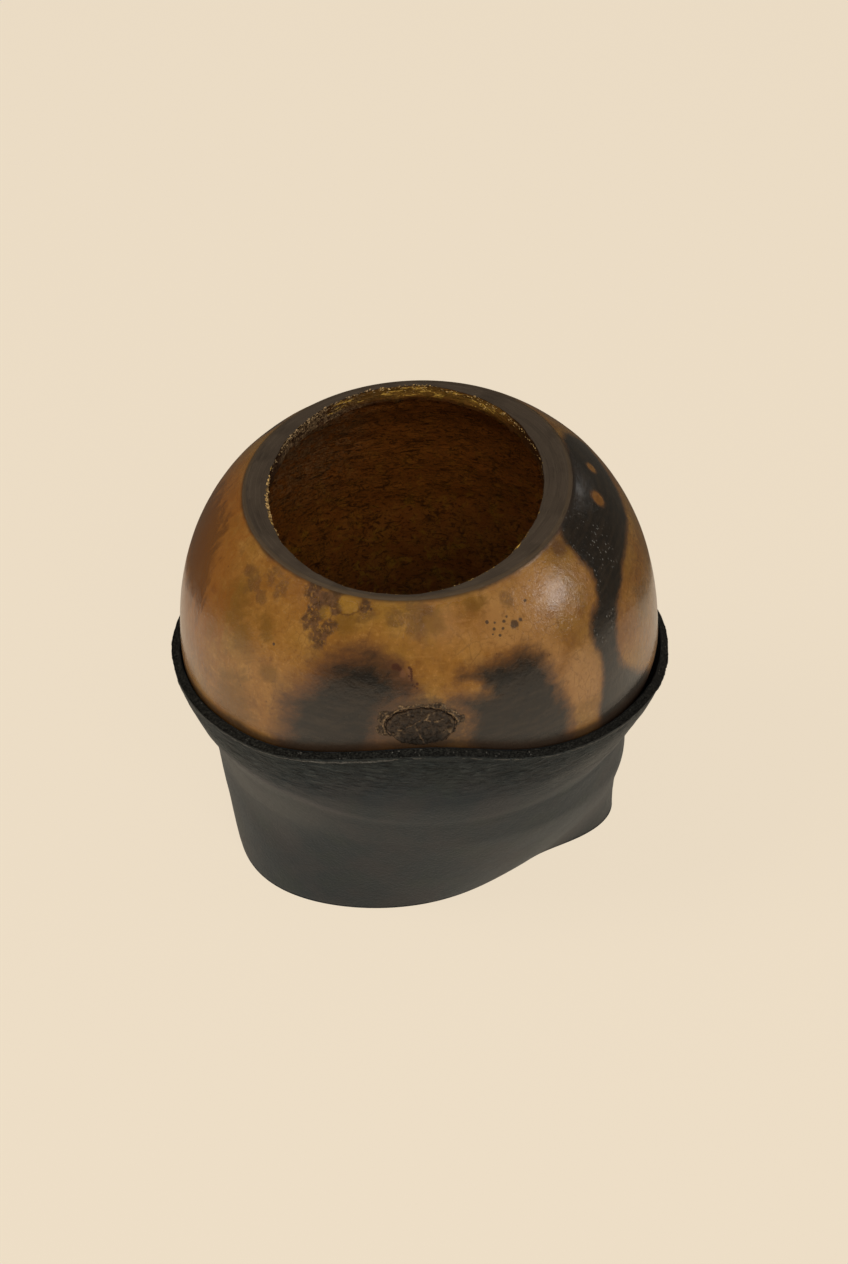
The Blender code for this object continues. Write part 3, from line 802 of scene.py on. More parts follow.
def skin_material(gourd):
    """Glossy varnish over dried skin, with burns, browned streaks and stains."""
    paint = Paint("varnished_skin", gourd_place(gourd))
    broad = paint.noise(20.0)
    other = paint.noise(14.0, detail=3.0, roughness=0.55, moved=(50, 20, 9))
    cloudy = paint.noise(6.0, detail=5.0, roughness=0.62, moved=(31, 7, 3))
    fine = paint.noise(1.1, detail=6.0, roughness=0.7)
    upright = paint.noise(2.4, detail=4.0, roughness=0.62, distortion=0.7, up=0.2)
    level = paint.noise(0.9, detail=3.0, across=0.12)
    ragged = paint.noise(1.5, detail=5.0, roughness=0.68, distortion=0.6, moved=(5, 9, 1))
    clump = paint.noise(3.0, detail=3.0, moved=(8, 1, 4))
    turn = {"Vector": paint.place, "Rotation": (0.0, 0.6, 0.5)}
    turned = paint.node("ShaderNodeMapping", {"vector_type": "POINT"}, turn)
    drawn = paint.vector("MULTIPLY", turned, (0.25, 0.6, 1.0))
    streaky = paint.noise(1.6, detail=4.0, roughness=0.6, distortion=0.5, at=drawn)

    web = paint.cells(2.1, "DISTANCE_TO_EDGE", up=0.5, moved=fine * 1.3)
    olived = paint.attribute("olived", cloudy, 1.6, streaky, 1.4)
    browned = paint.attribute("browned", upright, 17, cloudy, 6)
    colour = paint.layers(
        paint.mix(paint.smooth(0.38, 0.62, broad), srgb(122, 78, 26), gourd.skin_colour),
        (0.42, 0.68, other, 0.8, 132, 97, 38),
        (0.46, 0.7, cloudy, 0.6, 152, 111, 54),
        (0.5, 0.72, 1 - cloudy, 0.65, 98, 62, 20),
        (0.54, 0.72, upright, 0.35, 104, 60, 18),
        (0.1, 0.8, paint.attribute("pale", cloudy, 1.0), 0.6, 160, 118, 70),
        (0.53, 0.68, fine, 0.42, 96, 58, 20),
        (0.46, 0.34, fine, 0.3, 170, 126, 66),
        (0.07, 0.0, web, paint.smooth(0.45, 0.62, cloudy) * 0.4, 92, 56, 22),
        (0.56, 0.72, level, 0.14, 184, 138, 74),
        (0.25, 0.95, olived, 0.7, 98, 66, 16),
        (-8.0, 4.0, browned, 0.75, 126, 74, 18),
        (2.5, 7.5, browned, 0.6, 70, 38, 8),
    )

    stained = paint.marks(gourd, STAINS, clump, 3.0, ragged, 2.6)
    faint = paint.marks(gourd, FAINT_STAINS, clump, 3.0, ragged, 2.6)
    blotch = (paint.smooth(1.9, 1.0, stained) + 0.55 * paint.smooth(2.0, 0.8, faint)).least(1.0)
    blotch = blotch * paint.smooth(0.2, 0.36, ragged.stirred(clump, 0.6))
    rust = paint.mix(paint.smooth(0.4, 0.62, fine), srgb(52, 34, 22), srgb(86, 58, 36))
    rust = paint.layers(rust, (0.55, 0.62, ragged, 0.75, 132, 94, 38))
    ring_gap = paint.marks(gourd, RINGS, cloudy, 1.3, ragged, 0.9)
    colour = paint.layers(
        paint.mix(blotch * 0.85, colour, rust),
        (1.1, 0.5, ring_gap, 0.4, 142, 104, 28),
        (0.16, 0.03, abs(ring_gap - 1.0), paint.smooth(0.42, 0.58, other) * 0.6, 74, 46, 20),
        (1.2, 0.6, paint.marks(gourd, DOTS, fine, 1.8), 0.85, 58, 46, 38),
        (0.075, 0.03, paint.cells(3.6).stirred(fine, 0.08), 0.6, 70, 42, 20),
    )

    char = paint.attribute("char", cloudy, 3.0, level, 1.6, fine, 1.0, streaky, 2.4)
    burn = paint.layers(
        gourd.burn_colour,
        (0.42, 0.64, level, 0.6, 46, 37, 28),
        (0.45, 0.65, streaky, 0.6, 20, 18, 16),
        (0.55, 0.7, fine, 0.3, 58, 50, 40),
    )
    colour = paint.layers(
        colour,
        (0.15, 0.9, paint.attribute("smudged", cloudy, 1.2), 0.75, 74, 48, 32),
        (-6.0, 0.5, paint.attribute("halo", cloudy, 9), 0.6, 84, 50, 24),
        (-2.4, 0.2, char, 0.7, 82, 53, 32),
    )
    speck = paint.smooth(0.46, 0.6, paint.noise(2.4)) * paint.smooth(0.8, 1.8, char)
    speck = speck * paint.smooth(0.15, 0.8, paint.attribute("speckled"))
    colour = paint.layers(
        paint.mix(paint.smooth(-1.2, 1.8, char), colour, burn),
        (1.3, 0.5, paint.marks(gourd, PINK_STAINS, fine, 1.6, ragged, 1.6), 0.45, 112, 76, 54),
        (1.5, 0.6, paint.marks(gourd, RED_SPOTS, fine, 1.6, ragged, 1.2), 0.8, 56, 28, 18),
        (0.2, 0.9, paint.attribute("crusted", ragged, 1.3, fine, 0.8), 0.75, 62, 44, 28),
        # Painted shade just above the leather's edge, and a darker band under the rim
        (0.25, 0.85, paint.attribute("grime", cloudy, 0.9), 0.8, 40, 25, 12),
        (0.34, 0.12, paint.cells(0.75, up=0.6), speck * 0.8, 116, 116, 112),
    )

    orange_peel = paint.noise(1.5, detail=3.0, roughness=0.65)
    micro = paint.noise(0.45, detail=3.0, roughness=0.7)
    dull = paint.attribute("grime")
    return paint.finish(
        base_color=colour,
        roughness=(0.22 + 0.08 * blotch + 0.4 * dull).stirred(fine, 0.2, cloudy, 0.1),
        normal=paint.reliefs((orange_peel, 0.10), (upright, 0.05), (micro, 0.05), (blotch * ragged, 0.10)),
        coat_weight=0.3 - 0.3 * dull,
        coat_roughness=0.12,
        coat_ior=1.5,
        specular_ior_level=0.65,
    )


def flesh_material(gourd):
    """Matte cut rim, yellowish chipped edge and dark fibrous inside."""
    paint = Paint("cut_and_inside", gourd_place(gourd))
    where = paint.attribute("where")
    gold = paint.attribute("gold")
    olive = paint.attribute("olive")
    fine = paint.noise(0.5, detail=5.0, roughness=0.7)
    cloudy = paint.noise(6.0, detail=5.0, roughness=0.65)
    lumpy = paint.noise(2.6, detail=4.0, roughness=0.65, distortion=0.8, moved=(9, 2, 30))
    threads = paint.noise(0.55, detail=4.0, roughness=0.6, distortion=0.5, across=0.12)
    wavy = paint.noise(1.1, detail=4.0, roughness=0.62, distortion=2.2, across=0.4)
    crest = paint.noise(0.42, detail=3.0, roughness=0.6, distortion=0.8, across=0.2)
    cracks = paint.cells(2.4, "DISTANCE_TO_EDGE", across=0.6, moved=lumpy * 5.0)
    drift = paint.noise(6.0)
    radial = paint.vector("LENGTH", paint.spot(up=0.0), output="Value")
    saw = paint.noise(0.4, detail=4.0, at=paint.node("ShaderNodeCombineXYZ", None, (radial, drift * 1.4, 0.0)))

    rim = paint.layers(
        gourd.rim_colour,
        (0.4, 0.7, drift, 0.5, 54, 46, 38),
        (0.5, 0.75, saw, 0.5, 86, 76, 64),
        (0.5, 0.25, saw, 0.4, 36, 31, 26),
        (0.05, 0.0, where, 0.25, 92, 74, 50),
    )
    inside = paint.layers(
        paint.mix(paint.smooth(0.36, 0.66, cloudy), srgb(78, 40, 10), gourd.inside_colour),
        (0.52, 0.66, lumpy, 0.65, 100, 74, 16),
        # Painted light on the upper inside wall, which the rim shades
        (6.5, 2.6, where, paint.smooth(1.95, 2.3, where) * 0.7, 146, 84, 30),
        (0.53, 0.6, wavy, 0.75, 36, 14, 3),
        (0.11, 0.0, cracks, paint.smooth(0.46, 0.58, cloudy) * 0.7, 28, 10, 2),
        (0.52, 0.7, threads, 0.45, 112, 68, 24),
        (0.48, 0.34, fine, 0.6, 34, 14, 3),
    )
    inside = paint.mix(olive * 0.85, inside, srgb(104, 76, 30))
    # Painted shade on the hole's wall and upper inside, except at the olive back
    inside = paint.layers(inside, (2.6, 1.6, where, (1 - paint.smooth(0.05, 0.4, olive)) * 0.85, 36, 18, 5))
    crusty = paint.attribute("crust") * paint.smooth(0.36, 0.56, lumpy.stirred(fine, 0.8))
    crumbly = paint.mix(paint.smooth(0.42, 0.6, fine), srgb(52, 36, 20), srgb(134, 108, 76))
    inside = paint.mix(crusty * 0.85, inside, crumbly)

    colour = paint.mix(paint.smooth(0.97, 1.03, where), rim, inside)
    shine = paint.smooth(0.3, 0.7, gold.stirred(fine, 0.7, crest, 2.2)) * paint.smooth(0.04, 0.2, gold)
    gilt = paint.mix(paint.smooth(0.45, 0.65, crest), srgb(126, 90, 30), srgb(204, 162, 74))
    colour = paint.mix(shine * 0.9, colour, gilt)

    height = threads * 0.5 + fine * 0.3 + wavy * 0.5
    rim_height = saw * 0.7 + fine * 0.3
    share = paint.smooth(0.97, 1.05, where)
    normal = paint.reliefs((rim_height * (1 - share) * 0.35 + height * share, 0.6))
    return paint.finish(base_color=colour, roughness=0.68 - 0.12 * share, normal=normal, specular_ior_level=0.3)


# The blossom scar


SCAR_AZIMUTH = math.radians(1.2)
SCAR_HEIGHT = math.radians(20.7)
SCAR_HALF_SIZE = np.array([6.9 * MM, 4.15 * MM])
SCAR_REACH = np.array([9.9 * MM, 6.9 * MM])
SCAR_GRID = (170, 118)
SCAR_ROOT = 0.9 * MM
# Half width and half height of the darker skin round the scar, in millimetres
SCAR_SURROUND = (8.2, 5.4)
MM_A_DEGREE = 0.86
SCAR_LINES = (
    ((-2.6, -0.1), (-1.0, 0.9), (0.9, 1.4), (1.8, 2.7)),
    ((-1.2, 0.1), (-0.7, -1.2), (0.1, -1.9), (0.35, -3.5)),
    ((0.9, 1.4), (2.6, 1.0), (4.3, 1.6)),
    ((-2.6, -0.1), (-3.9, -0.9), (-4.6, -0.6)),
)
SCAR_TAN = (
    (-5.2, -1.9, 1.1), (5.4, -1.5, 0.95), (2.7, 2.9, 0.5), (-2.35, 2.75, 0.45), (0.2, -2.7, 0.4), (-3.6, -3.2, 0.6),
)
# Lobes of the crumbly halo: angle from the right and width in degrees, reach in parts of the disc
SCAR_LOBES = (
    (152, 19, 0.48), (188, 16, 0.34), (118, 18, 0.18), (92, 14, 0.14), (62, 16, 0.28), (36, 13, 0.24), (14, 14, 0.38),
)


def scar_relief(across, along):
    """Height of the scar over the skin in millimetres, and how light it is drawn: its crust, with painted shade
    towards its lower edge.
    """
    flat = np.stack([across, along, np.zeros_like(across)], axis=-1)
    bent_across = across + 0.35 * noise_at(flat, 1.6, 31) + 0.1 * noise_at(flat, 0.6, 30)
    bent_along = along + 0.35 * noise_at(flat, 1.6, 32) + 0.1 * noise_at(flat, 0.6, 29)
    around = np.hypot(bent_across * MM / SCAR_HALF_SIZE[0], bent_along * MM / SCAR_HALF_SIZE[1])
    rough = noise_at(flat, 0.7, 33, detail=3)
    plates = cells_at(flat + 0.5 * rough[:, None], 1.9, 34)
    cracks = np.exp(-(plates[:, 1] - plates[:, 0]) / 0.09)
    crumb = np.clip(1 - 1.4 * cells_at(flat, 0.55, 35)[:, 0], 0, 1)
    steps = [step for line in SCAR_LINES for step in zip(line, line[1:])]
    line = bell(np.min([gap_to_line(bent_across, bent_along, *step) for step in steps], axis=0), 0.16)
    line = line * np.clip(0.9 + rough, 0, 1)
    tan = np.max([bell(np.hypot(bent_across - x, bent_along - y), size) for x, y, size in SCAR_TAN], axis=0)
    tan = tan * np.clip(0.8 + rough, 0, 1)
    broken = np.clip(0.7 + 0.8 * noise_at(flat, 1.8, 36), 0, 1.3)
    lip = bell(around - 0.93, 0.055) * broken
    outer_lip = bell(around - 1.10, 0.04) * broken.clip(0, 1) * smooth_step(-3.5, 0.5, along)
    groove = bell(around - 1.02, 0.03)
    disc = 0.24 + 0.20 * (1 - around**2) + 0.15 * rough - 0.14 * cracks + 0.16 * line + 0.14 * tan + 0.34 * lip
    turn = np.arctan2(along / SCAR_HALF_SIZE[1], across / SCAR_HALF_SIZE[0])
    reach = 1.06 + np.max([size * near(turn, at, wide) for at, wide, size in SCAR_LOBES], axis=0) + 0.06 * rough
    grains = 1 - smooth_step(reach - 0.10, reach + 0.05, around)
    halo = -0.30 + grains * (0.34 + 0.34 * crumb + 0.16 * rough)
    outside = smooth_step(1.0, 1.09, around)
    rims = bell(around - reach + 0.06, 0.035) * outside * broken
    height = mix(disc, halo, outside) + 0.26 * outer_lip - 0.26 * groove + 0.12 * rims
    light = 0.7 * line + 0.35 * lip + 0.5 * tan + 0.5 * outer_lip + 0.9 * crumb * outside + 0.3 * rough + 0.35 * rims
    # Painted shade over the scar's lower part, towards the leather
    dark = 0.5 * groove + 0.12 * cracks * (1 - outside) + 0.45 * smooth_step(-1.0, -3.4, along)
    dark = dark + 0.4 * bell(around - reach - 0.03, 0.03) * outside
    return height, light - dark


def on_skin(gourd, directions):
    """Where lines from the gourd's middle meet its skin."""
    across = np.hypot(directions[:, 0], directions[:, 1])
    full = gourd.upper_fullness
    steep = np.abs(directions[:, 2]) / gourd.upper_height
    reach = ((across / gourd.radius) ** full + steep**full) ** (-1 / full)
    points = directions * reach[:, None]
    wider = 1 + gourd_waviness(gourd, azimuth_of(points), points[:, 2]) / (across * reach)
    return points * np.stack([wider, wider, np.ones_like(wider)], axis=-1)


class MESH_OT_blossom_scar(bpy.types.Operator):
    """Add the crusty scar on the front of the gourd"""

    bl_idname = "mesh.mate_blossom_scar"
    bl_label = "Blossom Scar"

    def execute(self, context):
        gourd = context.scene.mate_gourd.gourd
        start_piece()
        bpy.ops.mesh.primitive_grid_add(x_subdivisions=SCAR_GRID[0], y_subdivisions=SCAR_GRID[1], size=2.0)
        piece = named_piece("blossom_scar")
        square = vertex_values(piece, "co")
        across = square[:, 0] * np.sqrt(1 - square[:, 1] ** 2 / 2) * SCAR_REACH[0]
        along = square[:, 1] * np.sqrt(1 - square[:, 0] ** 2 / 2) * SCAR_REACH[1]
        height, light = scar_relief(across / MM, along / MM)
        edge = np.max(np.abs(square[:, :2]), axis=1)
        height = mix(height, -0.5, smooth_step(0.88, 1.0, edge))
        ahead = on_circle(SCAR_AZIMUTH, math.cos(SCAR_HEIGHT), math.sin(SCAR_HEIGHT))
        sideways = np.array([math.cos(SCAR_AZIMUTH), math.sin(SCAR_AZIMUTH), 0.0])
        upwards = np.cross(ahead, sideways)
        places = on_skin(gourd, ahead[None])[0] + across[:, None] * sideways + along[:, None] * upwards
        directions = places / np.linalg.norm(places, axis=1)[:, None]
        points = on_skin(gourd, directions) + directions * height[:, None] * MM
        set_coordinates(piece, transformed(points, gourd_place(gourd)))
        set_attributes(piece, light=light, raised=height)
        thick = piece.modifiers.new("Root", "SOLIDIFY")
        thick.thickness = SCAR_ROOT
        thick.offset = -1.0
        bpy.ops.object.modifier_apply(modifier=thick.name)
        face_outwards(piece)
        piece.data.materials.append(scar_material(gourd))
        finish_piece(piece, [])
        return {"FINISHED"}


def scar_material(gourd):
    """Dark brown cork under varnish, lighter on its ridges."""
    paint = Paint("corky_scar", gourd_place(gourd))
    fine = paint.noise(0.35, detail=4.0, roughness=0.7)
    light = paint.attribute("light", fine, 1.1, paint.noise(1.6, detail=3.0), 0.5)
    sunk = paint.smooth(0.06, -0.2, paint.attribute("raised", fine, 0.3))
    colour = paint.layers(
        srgb(20, 14, 9),
        (-0.35, 0.2, light, 1.0, 48, 36, 25),
        (0.1, 0.55, light, 1.0, 78, 62, 44),
        (0.5, 1.0, light, 1.0, 124, 100, 72),
    )
    return paint.finish(
        base_color=paint.mix(sunk * 0.8, colour, srgb(72, 48, 26)),
        roughness=0.5,
        normal=paint.reliefs((fine, 0.14)),
        coat_weight=0.45 + 0.25 * sunk,
        coat_roughness=0.2,
        specular_ior_level=0.3,
    )


# Flakes of dry flesh along the hole


# Azimuth and spread in degrees, how many, size and usual depth in millimetres
FLAKE_ZONES = (
    (-86, 8, 90, 0.42, 0.25),
    (-70, 14, 60, 0.20, 0.2),
    (170, 24, 130, 0.24, 0.9),
    (-138, 17, 230, 0.21, 0.7),
    (130, 14, 60, 0.22, 0.5),
    (85, 30, 110, 0.16, 0.15),
    (38, 20, 110, 0.16, 0.10),
    (-30, 25, 50, 0.13, 0.12),
)
FLAKE_SHAPE = np.array([1.5, 0.8, 0.35])
FLAKE_SEED = 11
# Azimuth of the grey crusty place and how far its flakes are grey to each side, in degrees
GREY_CRUST = -138
GREY_SPREAD = 32


class MESH_OT_hole_flakes(bpy.types.Operator):
    """Add the dry flakes that stand along the edge of the hole"""

    bl_idname = "mesh.mate_hole_flakes"
    bl_label = "Hole Flakes"

    def execute(self, context):
        gourd = context.scene.mate_gourd.gourd
        start_piece()
        bpy.ops.mesh.primitive_ico_sphere_add(subdivisions=1, radius=1.0)
        piece = named_piece("hole_flakes")
        pattern = vertex_values(piece, "co")
        faces = np.array([tuple(face.vertices) for face in piece.data.polygons])
        random = np.random.default_rng(FLAKE_SEED)
        points, golden = [], []
        for middle, spread, count, size, usual_depth in FLAKE_ZONES:
            for azimuth in np.radians(random.normal(middle, spread, count)):
                shape = FLAKE_SHAPE * size * MM * random.uniform(0.45, 1.15)
                turn = np.array(Euler(random.uniform(-0.6, 0.6, 3)).to_matrix() @ Matrix.Rotation(azimuth, 3, "Z"))
                ragged = pattern * random.uniform(0.6, 1.25, pattern.shape)
                depth = abs(random.normal(0, usual_depth)) * MM
                radius = hole_oval(gourd, azimuth) + random.normal(-0.02, 0.08) * MM
                place = on_circle(azimuth, radius, gourd.mouth_height - 0.05 * MM - depth) + HOLE_SHIFT
                points.append((ragged * shape) @ turn.T + place)
                away = abs(angle_between(azimuth, math.radians(GREY_CRUST)))
                golden += [away > math.radians(GREY_SPREAD)] * len(pattern)
        steps = np.arange(len(points))[:, None, None] * len(pattern)
        plain = piece.data
        piece.data = mesh = bpy.data.meshes.new(piece.name)
        placed = transformed(np.concatenate(points), gourd_place(gourd))
        mesh.from_pydata(placed.tolist(), [], (faces + steps).reshape(-1, 3).tolist())
        bpy.data.meshes.remove(plain)
        mesh.name = piece.name
        set_attributes(piece, golden=golden)
        mesh.materials.append(flake_material(gourd))
        finish_piece(piece, [])
        return {"FINISHED"}


def flake_material(gourd):
    """Dry yellow-brown flesh."""
    paint = Paint("dry_flakes", gourd_place(gourd))
    fine = paint.smooth(0.35, 0.65, paint.noise(0.5))
    grey = paint.mix(fine, srgb(70, 54, 36), srgb(168, 140, 102))
    gold = paint.mix(fine, srgb(92, 70, 42), srgb(190, 156, 100))
    colour = paint.mix(paint.attribute("golden"), grey, gold)
    return paint.finish(base_color=colour, roughness=0.6, specular_ior_level=0.3)


# The sleeve


SLEEVE_SEGMENTS = 600
SLEEVE_OUTER_RINGS = (46, 24, 32)
SLEEVE_INNER_RINGS = (10, 6, 8)
EDGE_RINGS = 8
FOOT_CENTRE = np.array([1.5 * MM, 6.0 * MM])
# Azimuth of the foot's dent, and how wide it is to its left and to its right, in degrees
DENT_AT, DENT_LEFT, DENT_RIGHT = 47, 55, 34


def skin_reach(gourd, azimuth, height):
    """How far the gourd's skin is from the upright axis through its middle."""
    back = gourd_place(gourd).inverted()
    centre = np.array(gourd.centre)
    _, upper, lower, full_up, full_down = skin_shape(gourd)

    def inside(reach):
        local = transformed(on_circle(azimuth, reach, height) + centre, back)
        rising = local[..., 2] >= 0
        full = np.where(rising, full_up, full_down)
        swell = gourd_waviness(gourd, azimuth_of(local), local[..., 2])
        across = np.hypot(local[..., 0], local[..., 1]) / (gourd.radius + swell)
        return across**full + (np.abs(local[..., 2]) / np.where(rising, upper, lower)) ** full < 1

    return reach_while(inside, azimuth, 1.5 * gourd.radius) - tuck(azimuth, height)


def edge_height(sleeve, azimuth):
    """The leather's upper edge rises to a soft hump over the scar."""
    front = 7.7 * MM * near(azimuth, 0, 30)
    back = 8.0 * MM * (1 - np.cos(azimuth)) / 2
    right = 0.55 * MM * np.sin(2 * azimuth) + 0.4 * MM * near(azimuth, 102, 34)
    left = -1.2 * MM * near(azimuth, -97, 32)
    hand_cut = 0.15 * MM * waves(azimuth, (7, 1.0, 1.0), (12, 0.6, 0.0))
    return sleeve.edge_height + front + back + right + left + hand_cut


def foot_inside(sleeve, azimuth):
    """The inside of the foot from its own centre: a circle with a dent at the front right."""
    turn = angle_between(azimuth, math.radians(DENT_AT))
    spread = np.radians(np.where(turn < 0, DENT_LEFT, DENT_RIGHT))
    dent = sleeve.dent_depth * bell(turn, spread, 2.3)
    bulge = 2.2 * near(azimuth, -47, 25) - 5.0 * near(azimuth, 180, 60) + 1.6 * near(azimuth, 97, 25)
    return sleeve.foot_radius - dent + bulge * MM


def foot_reach(sleeve, azimuth):
    """How far the inside of the foot is from the gourd's upright axis."""

    def inside(reach):
        place = on_circle(azimuth, reach)[..., :2] - FOOT_CENTRE
        return np.hypot(place[..., 0], place[..., 1]) < foot_inside(sleeve, azimuth_of(place))

    return reach_while(inside, azimuth, 2 * sleeve.foot_radius)


class SleeveForm:
    """What the sleeve's rings share: the curves round it that depend on the azimuth alone."""

    def __init__(self, gourd, sleeve, azimuth):
        self.gourd = gourd
        self.sleeve = sleeve
        self.azimuth = azimuth
        self.crease = -15.0 * MM - 1.0 * MM * near(azimuth, 0, 50)
        self.on_crease = skin_reach(gourd, azimuth, self.crease) + sleeve.gap
        self.foot = foot_reach(sleeve, azimuth)
        self.right = near(azimuth, 85, 35)
        self.waist = sleeve.waist_radius + 0.6 * MM * self.right
        self.thickness = sleeve.thickness + sleeve.front_extra * near(azimuth, 0, 60)

    def levels(self, counts):
        """Heights of the rings at each azimuth, from the cut edge down to the foot."""
        stops = [edge_height(self.sleeve, self.azimuth), self.crease]
        stops += [np.full_like(self.azimuth, low) for low in (self.sleeve.waist_height, -self.gourd.centre[2])]
        levels = [stops[0]]
        for start, end, count in zip(stops, stops[1:], counts):
            levels += [mix(start, end, step / count) for step in range(1, count + 1)]
        return np.array(levels)

    def inside(self, height):
        """The inside of the leather: on the gourd, then in to the waist, then to the foot."""
        waist_height = self.sleeve.waist_height
        azimuth = np.broadcast_to(self.azimuth, height.shape)
        hugging = skin_reach(self.gourd, azimuth, height) + self.sleeve.gap
        upper_share = (height - waist_height) / (self.crease - waist_height)
        lower_share = np.clip((waist_height - height) / (waist_height + self.gourd.centre[2]), 0, None)
        lower_wall = mix(self.waist, self.foot, lower_share ** (1 + 0.5 * self.right))
        wall = np.where(height > waist_height, mix(self.waist, self.on_crease, upper_share), lower_wall)
        on_gourd = smooth_step(self.crease - 2.5 * MM, self.crease + 2.5 * MM, height)
        lip = 1.0 * MM * self.right * smooth_step(-10.0 * MM, 1.0 * MM, height)
        return np.maximum(mix(wall, hugging, on_gourd), hugging) + lip

    def outside(self, height):
        """The outside of the leather, its thickness off the inside, with the height it gets."""
        step = 0.5 * MM
        lean = np.arctan2(self.inside(height + step) - self.inside(height - step), 2 * step)
        near_foot = 1 - np.clip((height - height[-1]) / (8 * MM), 0, 1)
        across = mix(np.cos(lean), 1 / np.cos(lean), near_foot)
        level = height - self.thickness * np.sin(lean) * (1 - near_foot)
        level[0] -= 0.5 * MM + 0.5 * MM * near(self.azimuth, 0, 45)
        return self.inside(height) + self.thickness * across, level

    def rings(self):
        """The outside downwards, the foot, the inside upwards, then the cut edge."""
        outer, inner = self.levels(SLEEVE_OUTER_RINGS), self.levels(SLEEVE_INNER_RINGS)
        outside = on_circle(np.broadcast_to(self.azimuth, outer.shape), *self.outside(outer))
        inside = on_circle(np.broadcast_to(self.azimuth, inner.shape), self.inside(inner), inner)[::-1]
        foot = [mix(outside[-1], inside[0], share) for share in (0.34, 0.67)]
        edge = [mix(inside[-1], outside[0], step / EDGE_RINGS) for step in range(1, EDGE_RINGS)]
        return np.concatenate([outside, foot, inside, edge])


def ridge_strength(azimuth, height):
    """The soft line below the flare where the leather turns down to the foot: raised a little in the relief, with a
    painted highlight along it.
    """
    line = -10.5 * MM - 6.5 * MM * near(azimuth, 0, 42)
    strength = np.maximum(0.35 + 0.65 * near(azimuth, -40, 28), 0.8 * near(azimuth, 46, 22))
    return strength * bell(height - line, 1.5 * MM)


def rubbed_strength(azimuth, height):
    """Where a paler sheen is painted on the leather: the left flank and the flare at the right."""
    left = near(azimuth, -48, 26) * bell(height + 21 * MM, 10 * MM)
    right = near(azimuth, 47, 22) * bell(height + 9 * MM, 4.5 * MM)
    return np.maximum(left, right)


def leather_relief(points, azimuth, drop):
    """Height of the fine relief on the outside of the leather, in metres."""
    folded = -0.42 * np.abs(noise_at(points, 0.9 * MM, 43, sideways=0.15))
    folded = folded - 0.30 * np.abs(noise_at(points, 1.7 * MM, 44, sideways=0.2))
    front = near(azimuth, 0, 60) * 0.85 + 0.15
    flare = smooth_step(0.6, 2.0, drop) * (1 - smooth_step(7.5, 13.0, drop)) * front
    return MM * (
        0.28 * noise_at(points, 17 * MM, 41)
        + 0.07 * noise_at(points, 6 * MM, 42, detail=2)
        + 0.012 * noise_at(points, 0.8 * MM, 46)
        + 0.28 * ridge_strength(azimuth, points[:, 2])
        + flare * np.clip(0.65 + noise_at(points, 7 * MM, 45), 0, 1) * folded
    )


class MESH_OT_sleeve_leather(bpy.types.Operator):
    """Add the sleeve of formed leather round the gourd"""

    bl_idname = "mesh.mate_leather_sleeve"
    bl_label = "Leather Sleeve"

    def execute(self, context):
        gourd, sleeve = context.scene.mate_gourd.gourd, context.scene.mate_gourd.sleeve
        steps = angle_between(np.arange(SLEEVE_SEGMENTS) * TURN / SLEEVE_SEGMENTS, 0.0)
        rings = SleeveForm(gourd, sleeve, steps).rings()
        piece, ring, azimuth = spun_rings("formed_sleeve", len(rings), SLEEVE_SEGMENTS, closed=True)
        segment = np.rint(azimuth * SLEEVE_SEGMENTS / TURN).astype(int) % SLEEVE_SEGMENTS
        points = rings[ring, segment]
        set_coordinates(piece, points)
        face_outwards(piece)
        height = points[:, 2]
        on_outside = ring <= sum(SLEEVE_OUTER_RINGS)
        on_edge = (ring == 0) | (ring > len(rings) - EDGE_RINGS)
        drop = (edge_height(sleeve, azimuth) - height) / MM
        off_floor = smooth_step(0, 1.2 * MM, height - height.min())
        fibres = MM * (0.15 * noise_at(points, 0.6 * MM, 51) + 0.14 * noise_at(points, 1.8 * MM, 52))
        relief = leather_relief(points, azimuth, drop) * on_outside * off_floor + on_edge * fibres
        placed = points + vertex_values(piece, "normal") * relief[:, None]
        set_coordinates(piece, placed + np.array(gourd.centre))
        height = placed[:, 2]
        set_attributes(
            piece,
            cut_edge=on_edge,
            lip=ring == 0,
            drop=np.clip(np.where(on_outside, drop, 60), -10, 60),
            ridge=ridge_strength(azimuth, height) * on_outside,
            rubbed=rubbed_strength(azimuth, height) * on_outside,
        )
        piece.data.materials.append(leather_material(sleeve, gourd))
        finish_piece(piece, ["leather_sleeve"], sharp=60)
        return {"FINISHED"}


